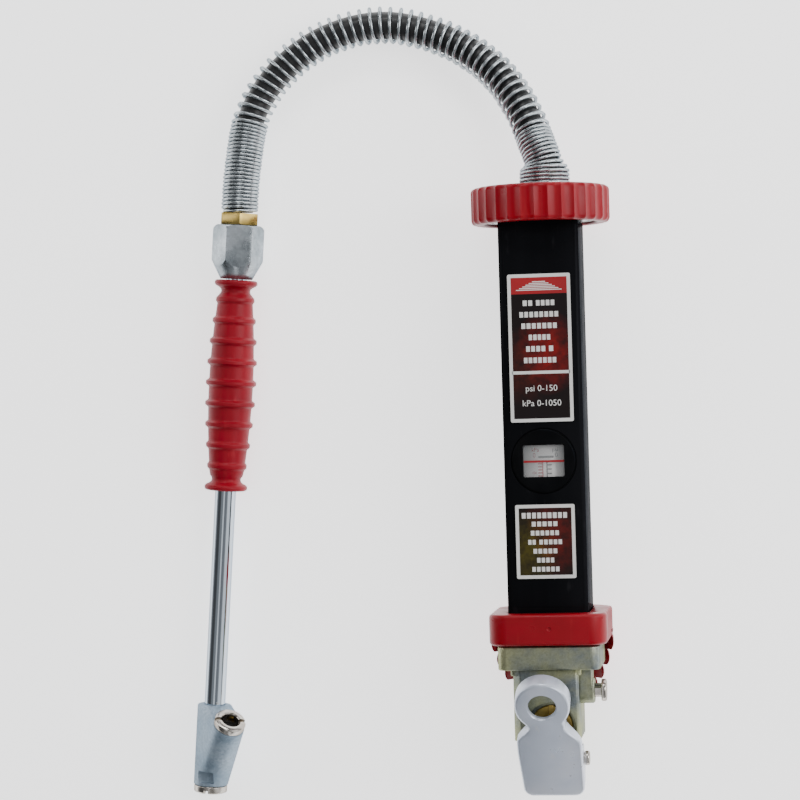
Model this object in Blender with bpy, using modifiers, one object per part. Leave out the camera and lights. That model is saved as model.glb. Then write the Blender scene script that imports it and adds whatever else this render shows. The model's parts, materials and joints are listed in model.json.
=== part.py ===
"""Tyre inflator with gauge, as separate pieces, in metres, +Z up.

The inflator lies on its back: the barrel runs along +Y with its sight and its lever facing +Z.
The origin is on the surface, under the middle of the lower bumper. The hose leaves the top cap,
comes down to the surface, goes round in one arc and ends in the wand with its two-footed chuck.
"""

import math

import bmesh
import bpy
from mathutils import Matrix, Vector
from mathutils.geometry import interpolate_bezier

COLLECTION = "tyre_inflator"
GAP = 0.0003  # between pieces that touch on the real object

# Barrel: a square extrusion around a round bore.
AXIS_Z = 0.0325
BARREL_HALF = 0.0185
BARREL_CORNER = 0.0023
BARREL_BOTTOM = -0.0050
BARREL_TOP = 0.1886
BORE_RADIUS = 0.0136
FRONT_Z = AXIS_Z + BARREL_HALF
AIR_PASSAGE_OFFSET = 0.01605
AIR_PASSAGE_RADIUS = 0.0015

# Tie rods in the extrusion's corners.
ROD_OFFSET = 0.0151
ROD_RADIUS = 0.0015
ROD_HOLE_RADIUS = 0.0018
ROD_BOTTOM = -0.0150
ROD_HEAD_RADIUS = 0.0028
ROD_HEAD_SEAT = 0.1945

# Sight in the front face.
SIGHT_Y = 0.0784
BEZEL_RADIUS = 0.0148
WINDOW_HALF_X = 0.0094
WINDOW_HALF_Y = 0.0073
LENS_RADIUS = 0.0128
LEDGE_Z = 0.0469
BEZEL_SEAT_Z = 0.0495
SIGHT_HOLE_RADIUS = 0.0114

# Labels: half width, half height, middle along the barrel.
LABEL_THICKNESS = 0.00035
UPPER_LABEL = (0.0145, 0.0340, 0.1303)
LOWER_LABEL = (0.0137, 0.0170, 0.0415)

# Gauge.
DRUM_RADIUS = 0.0129
DRUM_WALL = 0.0014
DRUM_BOTTOM = 0.0068
DRUM_TOP = 0.0900
PISTON_BOTTOM = 0.0000
SPRING_TOP = 0.1717

# Top cap, its bumper and the hose fitting, which is off the barrel's axis.
CAP_RADIUS = 0.0258
CAP_BOTTOM = 0.1895
CAP_TOP = 0.1990
RING_RADIUS = 0.0323
RING_BOTTOM = 0.1883
RING_TOP = 0.2053
RING_INNER = 0.0261
RING_WEB = 0.1993
FLUTES = 32
FLUTE_DEPTH = 0.0009
HOSE_PORT_X = 0.0024
FITTING_TOP = 0.2123

# Lower bumper.
COLLAR_BOTTOM = -0.0057
COLLAR_TOP = 0.0087
COLLAR_HALF_X = 0.0272
COLLAR_FRONT = 0.0272
COLLAR_REAR = 0.0329
COLLAR_PAD_HALF = 0.0060
SKIRT_SHIFT = -0.0010
SKIRT_THICKNESS = 0.0025

# Valve body.
FLANGE_HALF_X = 0.0235
FLANGE_TOP = -0.0063
FLANGE_BOTTOM = -0.0173
FLANGE_FRONT_Z = 0.0555
FLANGE_REAR_Z = 0.0135
BODY_LEFT = -0.0172
BODY_RIGHT = 0.0132
BODY_BOTTOM = -0.0505
BODY_FRONT_Z = 0.0505
BODY_REAR_Z = 0.0140
LUG_HALF_X = 0.0104
VALVE_Y = -0.0440
RECESS_RADIUS = 0.0116
CHAMBER_RADIUS = 0.0079
INLET_Z = 0.0255
INLET_BOSS_RADIUS = 0.0095
INLET_BOTTOM = -0.0665
PASSAGE_Z = 0.0372
BUTTON_Y = -0.0284
BUTTON_Z = 0.0375
BOSS_RADIUS = 0.0060
BOSS_FACE_X = 0.0197

# Lever, in its own frame: x across, a along the plate towards the ring, n out of the plate.
PIN_Y = -0.0588
PIN_Z = 0.0446
PIN_RADIUS = 0.0025
PIN_HOLE_RADIUS = 0.00258
LEVER_TILT = math.radians(28)
PLATE_FRONT = 0.0079
PLATE_THICKNESS = 0.0024
WALL = 0.0023
HEAD_A = 0.0334
HEAD_X = -0.0026
HEAD_RADIUS = 0.0126
RING_HOLE_RADIUS = 0.0064
CHEEK_BACK = -0.0043

# Wand: its frame starts at the swivel nut's top face and looks back up into the hose.
WAND_TOP = Vector((-0.1471, 0.1944, 0.0139))
WAND_FOOT = Vector((-0.1702, -0.0793, 0.00845))
COUPLING_TOP = 0.0057
NUT_CORNER_RADIUS = 0.01236
NUT_HEX_END = -0.0172
NUT_END = -0.0259
NUT_END_RADIUS = 0.0077
GRIP_TOP = -0.0264
GRIP_LENGTH = 0.1015
GRIP_RIBS = 9
TUBE_RADIUS = 0.0050
CHUCK_TOP = -0.2318
CHUCK_BASE = -0.2708
CHUCK_RADIUS = 0.0083
BRANCH_START = -0.2654
BRANCH_DIRECTION = Vector((0.329, -0.484, 0.811))
BRANCH_LENGTH = 0.0325
BRANCH_RADIUS = 0.0077

# Hose and the wire guard around it.
HOSE_RADIUS = 0.0065
GUARD_RADIUS = 0.0089
GUARD_WALL = 0.00165
GUARD_BELL_RADIUS = 0.0118
HOSE_STEP = 0.011
HOSE_ROUTE = (
    (0.0024, 0.2126, 0.0325),
    (0.0024, 0.2150, 0.0325),
    (0.0013, 0.2200, 0.0320),
    (-0.0010, 0.2262, 0.0306),
    (-0.0050, 0.2370, 0.0269),
    (-0.0105, 0.2480, 0.0225),
    (-0.0180, 0.2590, 0.0178),
    (-0.0287, 0.2695, 0.0135),
    (-0.0415, 0.2780, 0.0104),
    (-0.0555, 0.2840, 0.0092),
    (-0.0710, 0.2877, 0.0091),
    (-0.0867, 0.2873, 0.0091),
    (-0.1020, 0.2832, 0.0091),
    (-0.1150, 0.2765, 0.0091),
    (-0.1260, 0.2677, 0.0093),
    (-0.1340, 0.2580, 0.0100),
    (-0.1393, 0.2480, 0.0110),
    (-0.1421, 0.2375, 0.0123),
    (-0.1438, 0.2265, 0.0134),
    (-0.1452, 0.2165, 0.0140),
    (-0.14635, 0.2040, 0.0141),
    (-0.14657, 0.20067, 0.01402),
)


# --- Scene, materials and frames ---------------------------------------------------------------


def clear_scene():
    for obj in list(bpy.data.objects):
        bpy.data.objects.remove(obj, do_unlink=True)


def make_collection(name):
    collection = bpy.data.collections.new(name)
    bpy.context.scene.collection.children.link(collection)
    return collection


def make_material(name, colour, roughness, metallic=0.0, alpha=1.0):
    material = bpy.data.materials.new(name)
    material.use_nodes = True
    shader = material.node_tree.nodes["Principled BSDF"]
    shader.inputs["Base Color"].default_value = (*colour, 1.0)
    shader.inputs["Roughness"].default_value = roughness
    shader.inputs["Metallic"].default_value = metallic
    shader.inputs["Alpha"].default_value = alpha
    material.diffuse_color = (*colour, alpha)
    return material


def frame_along(direction, start, side):
    """A frame at start whose local Z runs along direction and whose local X is nearest to side."""
    z_axis = Vector(direction).normalized()
    x_axis = Vector(side) - z_axis * Vector(side).dot(z_axis)
    x_axis.normalize()
    y_axis = z_axis.cross(x_axis)
    frame = Matrix((x_axis, y_axis, z_axis)).transposed().to_4x4()
    frame.translation = Vector(start)
    return frame


WORLD = Matrix.Identity(4)


def barrel_frame(x=0.0, z=AXIS_Z):
    """Local Z runs along +Y and starts at y = 0; local X stays +X; local Y points down."""
    return frame_along((0, 1, 0), (x, 0, z), (1, 0, 0))


def facing_frame(x, y, z=0.0):
    return frame_along((0, 0, 1), (x, y, z), (1, 0, 0))


WAND_FRAME = frame_along(WAND_TOP - WAND_FOOT, WAND_TOP, (1, 0, 0))
LEVER_FRAME = frame_along(
    (0, -math.sin(LEVER_TILT), math.cos(LEVER_TILT)), (0, PIN_Y, PIN_Z), (1, 0, 0)
)


class Workshop:
    """Keeps the collections and the materials that every piece needs."""

    parts = None
    cutters = None
    materials = {}


def place(name, mesh, frame, material=None):
    """Makes an object of the mesh. Without a material it is a cutter, hidden from renders."""
    obj = bpy.data.objects.new(name, mesh)
    obj.matrix_world = frame
    if material is None:
        Workshop.cutters.objects.link(obj)
        obj.hide_render = True
        obj.display_type = "WIRE"
    else:
        Workshop.parts.objects.link(obj)
        mesh.materials.clear()
        mesh.materials.append(Workshop.materials[material])
    return obj


def finish_mesh(bm, name):
    bmesh.ops.recalc_face_normals(bm, faces=bm.faces)
    mesh = bpy.data.meshes.new(name)
    bm.to_mesh(mesh)
    bm.free()
    return mesh


def evaluated_mesh(obj):
    """A welded mesh of a curve object, or of an object with modifiers; the object itself goes."""
    bpy.context.view_layer.update()
    graph = bpy.context.evaluated_depsgraph_get()
    mesh = bpy.data.meshes.new_from_object(obj.evaluated_get(graph))
    bm = bmesh.new()
    bm.from_mesh(mesh)
    bmesh.ops.remove_doubles(bm, verts=bm.verts, dist=0.000002)
    bpy.data.meshes.remove(mesh)
    name = obj.name
    bpy.data.objects.remove(obj, do_unlink=True)
    return finish_mesh(bm, name)


# --- Shapes ------------------------------------------------------------------------------------


def shade_round(obj, angle=35):
    obj.data.shade_smooth()
    obj.data.set_sharp_from_angle(angle=math.radians(angle))


def turned(name, profile, frame, material=None, steps=24):
    """Turns a profile of (radius, height) points, listed down the outer side, about local Z.

    A profile that starts and ends on the axis makes a solid; any other is closed into a ring.
    """
    bm = bmesh.new()
    verts = [bm.verts.new((radius, 0, height)) for radius, height in profile]
    for first, second in zip(verts, verts[1:]):
        bm.edges.new((first, second))
    if profile[0][0] > 0 or profile[-1][0] > 0:
        bm.edges.new((verts[-1], verts[0]))
    mesh = bpy.data.meshes.new(name)
    bm.to_mesh(mesh)
    bm.free()
    obj = place(name, mesh, frame, material)
    screw = obj.modifiers.new("turn", "SCREW")
    screw.axis = "Z"
    screw.steps = steps
    screw.render_steps = steps
    screw.use_merge_vertices = True
    screw.merge_threshold = 0.000005
    screw.use_smooth_shade = False
    return obj


def ring_profile(outer, inner, low, high):
    return [(outer, high), (outer, low), (inner, low), (inner, high)]


def disc_profile(radius, low, high):
    return [(0, high), (radius, high), (radius, low), (0, low)]


def rod(name, radius, low, high, frame, material=None, steps=32):
    """A cylinder about the frame's Z, from low to high."""
    bm = bmesh.new()
    bmesh.ops.create_cone(
        bm,
        cap_ends=True,
        segments=steps,
        radius1=radius,
        radius2=radius,
        depth=high - low,
        matrix=Matrix.Translation((0, 0, (low + high) / 2)),
    )
    return place(name, finish_mesh(bm, name), frame, material)


def block(name, low, high, frame=WORLD, material=None):
    """A box between two corners of the frame."""
    size = [top - bottom for bottom, top in zip(low, high)]
    middle = [(top + bottom) / 2 for bottom, top in zip(low, high)]
    matrix = Matrix.Translation(middle) @ Matrix.Diagonal((*size, 1))
    bm = bmesh.new()
    bmesh.ops.create_cube(bm, size=1, matrix=matrix)
    return place(name, finish_mesh(bm, name), frame, material)


def prism(name, outlines, low, high, frame, material=None):
    """A flat outline, with any further outlines as holes, between two heights of the frame."""
    curve = bpy.data.curves.new(name, "CURVE")
    curve.dimensions = "2D"
    curve.fill_mode = "BOTH"
    curve.extrude = (high - low) / 2
    for outline in outlines:
        spline = curve.splines.new("POLY")
        spline.points.add(len(outline) - 1)
        for point, (x, y) in zip(spline.points, outline):
            point.co = (x, y, 0, 1)
        spline.use_cyclic_u = True
    sketch = bpy.data.objects.new(name, curve)
    Workshop.cutters.objects.link(sketch)
    mesh = evaluated_mesh(sketch)
    mesh.transform(Matrix.Translation((0, 0, (low + high) / 2)))
    return place(name, mesh, frame, material)


def circle(radius, count, x=0.0, y=0.0, start=0.0):
    step = 2 * math.pi / count
    return [
        (x + radius * math.cos(start + i * step), y + radius * math.sin(start + i * step))
        for i in range(count)
    ]


def arc(x, y, radius, start, end, count):
    """Points on an arc between two angles in degrees."""
    points = []
    for i in range(count + 1):
        angle = math.radians(start + (end - start) * i / count)
        points.append((x + radius * math.cos(angle), y + radius * math.sin(angle)))
    return points


def rounded_box(left, right, bottom, top, radius, count=4):
    return (
        arc(right - radius, top - radius, radius, 0, 90, count)
        + arc(left + radius, top - radius, radius, 90, 180, count)
        + arc(left + radius, bottom + radius, radius, 180, 270, count)
        + arc(right - radius, bottom + radius, radius, 270, 360, count)
    )


def fluted(radius, angle):
    """Radius of a fluted rim at an angle in radians: shallow hollows between narrow ridges."""
    phase = (angle * FLUTES / (2 * math.pi)) % 1.0
    return radius - FLUTE_DEPTH * math.sin(math.pi * phase) ** 0.8


def fluted_circle(radius, per_flute=3):
    points = []
    for i in range(FLUTES * per_flute):
        angle = 2 * math.pi * i / (FLUTES * per_flute)
        reach = fluted(radius, angle)
        points.append((reach * math.cos(angle), reach * math.sin(angle)))
    return points


def lofted(name, sections, frame, material=None):
    """A solid through sections of (outline, height) with equal point counts, lowest first."""
    bm = bmesh.new()
    rings = [[bm.verts.new((x, y, height)) for x, y in outline] for outline, height in sections]
    count = len(rings[0])
    for lower, upper in zip(rings, rings[1:]):
        for i in range(count):
            after = (i + 1) % count
            bm.faces.new((lower[i], lower[after], upper[after], upper[i]))
    bm.faces.new(rings[0])
    bm.faces.new(rings[-1])
    return place(name, finish_mesh(bm, name), frame, material)


def coil(name, radius, wire, low, high, turns, frame, material, per_turn=8):
    """A compression spring about the frame's Z whose wire stays between two heights."""
    curve = bpy.data.curves.new(name, "CURVE")
    curve.dimensions = "3D"
    curve.bevel_depth = wire
    curve.bevel_resolution = 2
    curve.use_fill_caps = True
    count = turns * per_turn
    spline = curve.splines.new("POLY")
    spline.points.add(count)
    start = low + wire
    pitch = (high - low - 2 * wire) / turns
    for i, point in enumerate(spline.points):
        angle = 2 * math.pi * i / per_turn
        height = start + pitch * i / per_turn
        point.co = (radius * math.cos(angle), radius * math.sin(angle), height, 1)
    obj = bpy.data.objects.new(name, curve)
    obj.matrix_world = frame
    curve.materials.append(Workshop.materials[material])
    Workshop.parts.objects.link(obj)
    return obj


def cut(target, *cutters):
    for cutter in cutters:
        modifier = target.modifiers.new("cut", "BOOLEAN")
        modifier.operation = "DIFFERENCE"
        modifier.solver = "EXACT"
        modifier.object = cutter
    return target


def join(target, *others):
    for other in others:
        modifier = target.modifiers.new("join", "BOOLEAN")
        modifier.operation = "UNION"
        modifier.solver = "EXACT"
        modifier.object = other
    return target


def keep_inside(target, limit):
    modifier = target.modifiers.new("trim", "BOOLEAN")
    modifier.operation = "INTERSECT"
    modifier.solver = "EXACT"
    modifier.object = limit
    return target


def round_edges(target, width, segments=1, angle=50):
    bevel = target.modifiers.new("edges", "BEVEL")
    bevel.width = width
    bevel.segments = segments
    bevel.limit_method = "ANGLE"
    bevel.angle_limit = math.radians(angle)
    bevel.use_clamp_overlap = True
    return target


# --- Barrel and sight --------------------------------------------------------------------------


def rod_places():
    return [(x, y) for y in (-ROD_OFFSET, ROD_OFFSET) for x in (-ROD_OFFSET, ROD_OFFSET)]


def make_barrel():
    frame = barrel_frame()
    outline = rounded_box(
        -BARREL_HALF, BARREL_HALF, -BARREL_HALF, BARREL_HALF, BARREL_CORNER, 3
    )
    holes = [circle(BORE_RADIUS, 32), circle(AIR_PASSAGE_RADIUS, 8, 0, AIR_PASSAGE_OFFSET)]
    holes += [circle(ROD_HOLE_RADIUS, 10, x, y) for x, y in rod_places()]
    barrel = prism("barrel", [outline, *holes], BARREL_BOTTOM, BARREL_TOP, frame, "anodised")
    sight = facing_frame(0, SIGHT_Y)
    stepped = [
        (0, FRONT_Z + 0.001),
        (BEZEL_RADIUS + GAP, FRONT_Z + 0.001),
        (BEZEL_RADIUS + GAP, BEZEL_SEAT_Z),
        (LENS_RADIUS + GAP, BEZEL_SEAT_Z),
        (LENS_RADIUS + GAP, LEDGE_Z),
        (SIGHT_HOLE_RADIUS, LEDGE_Z),
        (SIGHT_HOLE_RADIUS, AXIS_Z),
        (0, AXIS_Z),
    ]
    cut(barrel, turned("sight_hole", stepped, sight))


def make_sight():
    sight = facing_frame(0, SIGHT_Y)
    window = rounded_box(-WINDOW_HALF_X, WINDOW_HALF_X, -WINDOW_HALF_Y, WINDOW_HALF_Y, 0.0008, 2)
    bezel_low = BEZEL_SEAT_Z + GAP
    prism("window_bezel", [circle(BEZEL_RADIUS, 48), window], bezel_low, FRONT_Z, sight, "bezel")
    gasket = ring_profile(LENS_RADIUS - 0.0002, SIGHT_HOLE_RADIUS, LEDGE_Z + GAP, 0.0477)
    turned("lens_gasket", gasket, sight, "rubber")
    rod("lens", LENS_RADIUS, 0.0480, BEZEL_SEAT_Z, sight, "lens", 48)


def make_labels():
    low = FRONT_Z + GAP
    for name, (half_x, half_y, middle) in (
        ("upper_label", UPPER_LABEL),
        ("lower_label", LOWER_LABEL),
    ):
        outline = rounded_box(-half_x, half_x, -half_y, half_y, 0.0006, 2)
        prism(name, [outline], low, low + LABEL_THICKNESS, facing_frame(0, middle), "label")


def make_end_gaskets():
    """The flat gaskets at the two ends of the barrel, with the barrel's own holes."""
    outline = rounded_box(-0.0180, 0.0180, -0.0180, 0.0180, BARREL_CORNER, 3)
    holes = [circle(BORE_RADIUS, 24), circle(AIR_PASSAGE_RADIUS, 6, 0, AIR_PASSAGE_OFFSET)]
    holes += [circle(ROD_HOLE_RADIUS, 8, x, y) for x, y in rod_places()]
    for name, low, high in (
        ("cap_gasket", BARREL_TOP + GAP, CAP_BOTTOM - GAP),
        ("body_gasket", FLANGE_TOP + GAP, BARREL_BOTTOM - GAP),
    ):
        prism(name, [outline, *holes], low, high, barrel_frame(), "rubber")


def make_gauge():
    frame = barrel_frame()
    drum = ring_profile(DRUM_RADIUS, DRUM_RADIUS - DRUM_WALL, DRUM_BOTTOM, DRUM_TOP)
    turned("scale_drum", drum, frame, "scale_white", 32)
    crown = 0.0065
    spigot_top = 0.0100
    piston = [
        (0, spigot_top),
        (DRUM_RADIUS - DRUM_WALL - GAP, spigot_top),
        (DRUM_RADIUS - DRUM_WALL - GAP, crown),
        (0.0133, crown),
        (0.0133, 0.0048),
        (0.0110, 0.0048),
        (0.0110, 0.0017),
        (0.0133, 0.0017),
        (0.0133, PISTON_BOTTOM),
        (0, PISTON_BOTTOM),
    ]
    turned("gauge_piston", piston, frame, "nylon_black")
    turned("piston_seal", ring_profile(0.01345, 0.0113, 0.0020, 0.0045), frame, "rubber")
    coil("gauge_spring", 0.0085, 0.0009, spigot_top + GAP, SPRING_TOP, 12, frame, "spring_steel")
    seat = [
        (0.0131, BARREL_TOP),
        (0.0131, 0.1830),
        (0.0105, 0.1800),
        (0.0105, SPRING_TOP + GAP),
        (0.0040, SPRING_TOP + GAP),
        (0.0040, 0.1750),
        (0.0085, 0.1780),
        (0.0115, BARREL_TOP),
    ]
    turned("spring_seat", seat, frame, "nylon_white")


# --- Top end -----------------------------------------------------------------------------------


def make_cap():
    frame = barrel_frame()
    edge = 0.0008
    disc = [
        (0, CAP_TOP),
        (CAP_RADIUS - edge, CAP_TOP),
        (CAP_RADIUS, CAP_TOP - edge),
        (CAP_RADIUS, CAP_BOTTOM),
        (0, CAP_BOTTOM),
    ]
    cap = turned("top_cap", disc, frame, "cap_grey", 40)
    for i, (x, y) in enumerate(rod_places()):
        stepped = [
            (0, CAP_TOP + 0.001),
            (ROD_HEAD_RADIUS + GAP, CAP_TOP + 0.001),
            (ROD_HEAD_RADIUS + GAP, ROD_HEAD_SEAT),
            (ROD_HOLE_RADIUS, ROD_HEAD_SEAT),
            (ROD_HOLE_RADIUS, CAP_BOTTOM - 0.001),
            (0, CAP_BOTTOM - 0.001),
        ]
        place_frame = barrel_frame(x, AXIS_Z - y)
        cut(cap, turned(f"rod_hole_{i + 1}", stepped, place_frame, steps=10))
    port = rod("hose_port", 0.0068, 0.1925, CAP_TOP + 0.001, barrel_frame(HOSE_PORT_X), steps=24)
    channel = block(
        "cap_channel",
        (-0.0012, AIR_PASSAGE_OFFSET - 0.0012, CAP_BOTTOM - 0.001),
        (0.0012, AIR_PASSAGE_OFFSET + 0.0012, 0.1950),
        frame,
    )
    link = rod("cap_link", 0.0010, AXIS_Z - AIR_PASSAGE_OFFSET, AXIS_Z,
               facing_frame(0.0005, 0.1938), steps=8)
    cut(cap, port, channel, link)


def make_top_bumper():
    frame = barrel_frame()
    edge = 0.0014
    full = fluted_circle(RING_RADIUS)
    small = fluted_circle(RING_RADIUS - edge)
    sections = [
        (small, RING_BOTTOM),
        (full, RING_BOTTOM + edge),
        (full, RING_TOP - edge),
        (small, RING_TOP),
    ]
    bumper = lofted("top_bumper", sections, frame, "red")
    pocket = rod("bumper_pocket", RING_INNER, RING_BOTTOM - 0.001, RING_WEB, frame, steps=48)
    neck = rod(
        "bumper_neck", 0.0122, RING_WEB - 0.001, RING_TOP + 0.001, barrel_frame(HOSE_PORT_X), steps=32
    )
    cut(bumper, pocket, neck)


def make_hose_adaptor():
    frame = barrel_frame(HOSE_PORT_X)
    hexagon = circle(0.0098, 6)
    adaptor = prism("hose_adaptor", [hexagon], RING_WEB, 0.2060, frame, "brass")
    body = [
        (0, FITTING_TOP),
        (0.0062, FITTING_TOP),
        (0.0062, 0.2055),
        (0.0064, 0.2000),
        (0.0064, 0.1928),
        (0, 0.1928),
    ]
    join(adaptor, turned("adaptor_body", body, frame, steps=24))
    bore = rod("adaptor_bore", 0.0034, 0.1915, FITTING_TOP + 0.001, frame, steps=16)
    cut(adaptor, bore)


def make_tie_rods():
    for i, (x, y) in enumerate(rod_places()):
        frame = barrel_frame(x, AXIS_Z - y)
        head_top = ROD_HEAD_SEAT + 0.0038
        profile = [
            (0, head_top - 0.0018),
            (0.0014, head_top - 0.0018),
            (0.0014, head_top),
            (ROD_HEAD_RADIUS, head_top),
            (ROD_HEAD_RADIUS, ROD_HEAD_SEAT + GAP),
            (ROD_RADIUS, ROD_HEAD_SEAT + GAP),
            (ROD_RADIUS, ROD_BOTTOM),
            (0, ROD_BOTTOM),
        ]
        turned(f"tie_rod_{i + 1}", profile, frame, "screw_steel", 10)


# --- Lower bumper ------------------------------------------------------------------------------


def collar_outline():
    """The collar in the barrel's frame, whose local Y points to the rear.

    The front is flat, the sides and the back are ribbed, and a flat pad at the back rests on
    the surface.
    """
    corner = 0.0090
    front = arc(
        COLLAR_HALF_X - corner, -(COLLAR_FRONT - corner), corner, 0, -90, 5
    ) + arc(-(COLLAR_HALF_X - corner), -(COLLAR_FRONT - corner), corner, -90, -180, 5)
    rear = []
    start = math.acos(COLLAR_HALF_X / COLLAR_REAR)
    steps = 44
    for i in range(steps + 1):
        angle = math.pi - start - (math.pi - 2 * start) * i / steps
        phase = (i / steps * 11) % 1.0
        reach = COLLAR_REAR - FLUTE_DEPTH * math.sin(math.pi * phase) ** 0.8
        if abs(reach * math.cos(angle)) > COLLAR_PAD_HALF + 0.0008:
            rear.append((reach * math.cos(angle), reach * math.sin(angle)))
        elif not rear or rear[-1][1] != AXIS_Z:
            rear += [(-COLLAR_PAD_HALF, AXIS_Z), (COLLAR_PAD_HALF, AXIS_Z)]
    side = []
    side_low = COLLAR_REAR * math.sin(start)
    ribs = 4
    span = side_low + (COLLAR_FRONT - corner)
    for i in range(1, ribs * 4):
        y = side_low - span * i / (ribs * 4)
        hollow = 0.0007 * math.sin(math.pi * ((i / 4) % 1.0))
        side.append((COLLAR_HALF_X - hollow, y))
    left_side = [(-x, y) for x, y in reversed(side)]
    return front + left_side + rear + side


def make_lower_bumper():
    frame = barrel_frame()
    hole_half = BARREL_HALF + GAP
    hole = rounded_box(-hole_half, hole_half, -hole_half, hole_half, BARREL_CORNER, 3)
    outline = collar_outline()
    bumper = prism("lower_bumper", [outline, hole], COLLAR_BOTTOM, COLLAR_TOP, frame, "red")
    skirt = turned(
        "bumper_skirt",
        ring_profile(COLLAR_REAR - 0.0006, COLLAR_REAR - 0.0006 - SKIRT_THICKNESS, -0.0320, 0.0),
        frame,
        steps=64,
    )
    keep_inside(skirt, skirt_tongue())
    join(bumper, skirt)


def skirt_tongue():
    """The lobed tongue at the rear that the skirt keeps, seen from the front and cut through Z."""
    edge = (
        (0.0282, 0.0010), (0.0286, -0.0030), (0.0288, -0.0059), (0.0282, -0.0090),
        (0.0265, -0.0118), (0.0264, -0.0137), (0.0261, -0.0155), (0.0253, -0.0175),
        (0.0234, -0.0193), (0.0234, -0.0210), (0.0232, -0.0225), (0.0224, -0.0245),
        (0.0207, -0.0264), (0.0198, -0.0285), (0.0175, -0.0302), (0.0120, -0.0315),
    )
    right = [(half + SKIRT_SHIFT, y) for half, y in edge]
    left = [(2 * SKIRT_SHIFT - x, y) for x, y in reversed(right)]
    return prism("tongue", [right + left], -0.001, AXIS_Z - 0.0110, facing_frame(0, 0))


# --- Valve body --------------------------------------------------------------------------------


def make_valve_body():
    frame = barrel_frame()
    flange_outline = rounded_box(
        -FLANGE_HALF_X,
        FLANGE_HALF_X,
        AXIS_Z - FLANGE_FRONT_Z,
        AXIS_Z - FLANGE_REAR_Z,
        0.0045,
        2,
    )
    body = prism("valve_body", [flange_outline], FLANGE_BOTTOM, FLANGE_TOP, frame, "zinc_yellow")
    chamfer = 0.0034
    front = AXIS_Z - BODY_FRONT_Z
    rear = AXIS_Z - BODY_REAR_Z
    trunk_outline = [
        (BODY_LEFT, front + chamfer),
        (BODY_LEFT + chamfer, front),
        (BODY_RIGHT - 0.0012, front),
        (BODY_RIGHT, front + 0.0012),
        (BODY_RIGHT, rear - 0.0030),
        (BODY_RIGHT - 0.0030, rear),
        (BODY_LEFT + 0.0030, rear),
        (BODY_LEFT, rear - 0.0030),
    ]
    trunk = prism("trunk", [trunk_outline], BODY_BOTTOM, FLANGE_BOTTOM + 0.001, frame)
    neck = block(
        "lug_neck",
        (-LUG_HALF_X, PIN_Y, 0.0180),
        (LUG_HALF_X, BODY_BOTTOM + 0.001, PIN_Z + 0.0048),
    )
    lug = rod(
        "lug_eye",
        0.0048,
        -LUG_HALF_X,
        LUG_HALF_X,
        frame_along((1, 0, 0), (0, PIN_Y, PIN_Z), (0, 0, 1)),
        steps=24,
    )
    inlet_boss = rod("inlet_boss", INLET_BOSS_RADIUS, INLET_BOTTOM, BODY_BOTTOM + 0.001,
                     barrel_frame(0, INLET_Z), steps=32)
    spigot = rod("barrel_spigot", BORE_RADIUS - GAP, FLANGE_TOP - 0.001, -0.0030, frame, steps=32)
    button_frame = frame_along((1, 0, 0), (0, BUTTON_Y, BUTTON_Z), (0, 0, 1))
    boss = rod("button_boss", BOSS_RADIUS, BODY_RIGHT - 0.002, BOSS_FACE_X, button_frame, steps=24)
    pad = block(
        "button_pad",
        (BODY_RIGHT - 0.001, BUTTON_Y, BUTTON_Z - BOSS_RADIUS),
        (BOSS_FACE_X - 0.0008, FLANGE_BOTTOM + 0.0005, BUTTON_Z + BOSS_RADIUS),
    )
    join(body, trunk, neck, lug, inlet_boss, spigot, boss, pad)
    cut(body, *valve_body_cutters(button_frame))


def valve_body_cutters(button_frame):
    valve = facing_frame(0, VALVE_Y)
    stepped = [
        (0, BODY_FRONT_Z + 0.001),
        (RECESS_RADIUS, BODY_FRONT_Z + 0.001),
        (RECESS_RADIUS, 0.0460),
        (CHAMBER_RADIUS, 0.0460),
        (CHAMBER_RADIUS, 0.0330),
        (0.0064, 0.0330),
        (0.0064, BODY_REAR_Z - 0.001),
        (0, BODY_REAR_Z - 0.001),
    ]
    chamber = turned("valve_chamber", stepped, valve, steps=32)
    inlet_frame = barrel_frame(0, INLET_Z)
    inlet_thread = rod("inlet_thread", 0.0073, INLET_BOTTOM - 0.001, -0.0555, inlet_frame, steps=24)
    inlet_way = rod("inlet_way", 0.0034, -0.0560, VALVE_Y, inlet_frame, steps=12)
    outlet_way = rod("outlet_way", 0.0021, VALVE_Y, -0.0020, barrel_frame(0, PASSAGE_Z), steps=12)
    button_bore = [
        (0, BOSS_FACE_X + 0.001),
        (0.0036, BOSS_FACE_X + 0.001),
        (0.0036, 0.0083),
        (0.0022, 0.0083),
        (0.0022, 0.0020),
        (0.0042, 0.0020),
        (0.0042, -0.0075),
        (0, -0.0075),
    ]
    button_hole = turned("button_bore", button_bore, button_frame, steps=16)
    pin_frame = frame_along((1, 0, 0), (0, PIN_Y, PIN_Z), (0, 0, 1))
    pin_hole = rod("pin_hole", PIN_RADIUS + GAP, -0.020, 0.020, pin_frame, steps=24)
    rod_holes = [
        rod(f"flange_hole_{i + 1}", ROD_HOLE_RADIUS, ROD_BOTTOM - 0.0005, FLANGE_TOP + 0.001,
            barrel_frame(x, AXIS_Z - y), steps=12)
        for i, (x, y) in enumerate(rod_places())
    ]
    return [chamber, inlet_thread, inlet_way, outlet_way, button_hole, pin_hole, *rod_holes]


def make_inlet():
    frame = barrel_frame(0, INLET_Z)
    adaptor = prism(
        "inlet_adaptor", [circle(0.0103, 6)], INLET_BOTTOM - 0.0060, INLET_BOTTOM - GAP, frame, "brass"
    )
    thread = rod("inlet_spigot", 0.0069, INLET_BOTTOM - 0.001, -0.0585, frame, steps=24)
    join(adaptor, thread)
    port = rod("inlet_port", 0.0056, INLET_BOTTOM - 0.007, -0.0575, frame, steps=24)
    cut(adaptor, port)
    turned("inlet_filter", ring_profile(0.0068, 0.0012, -0.0582, -0.0560), frame, "bronze", 16)


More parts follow.
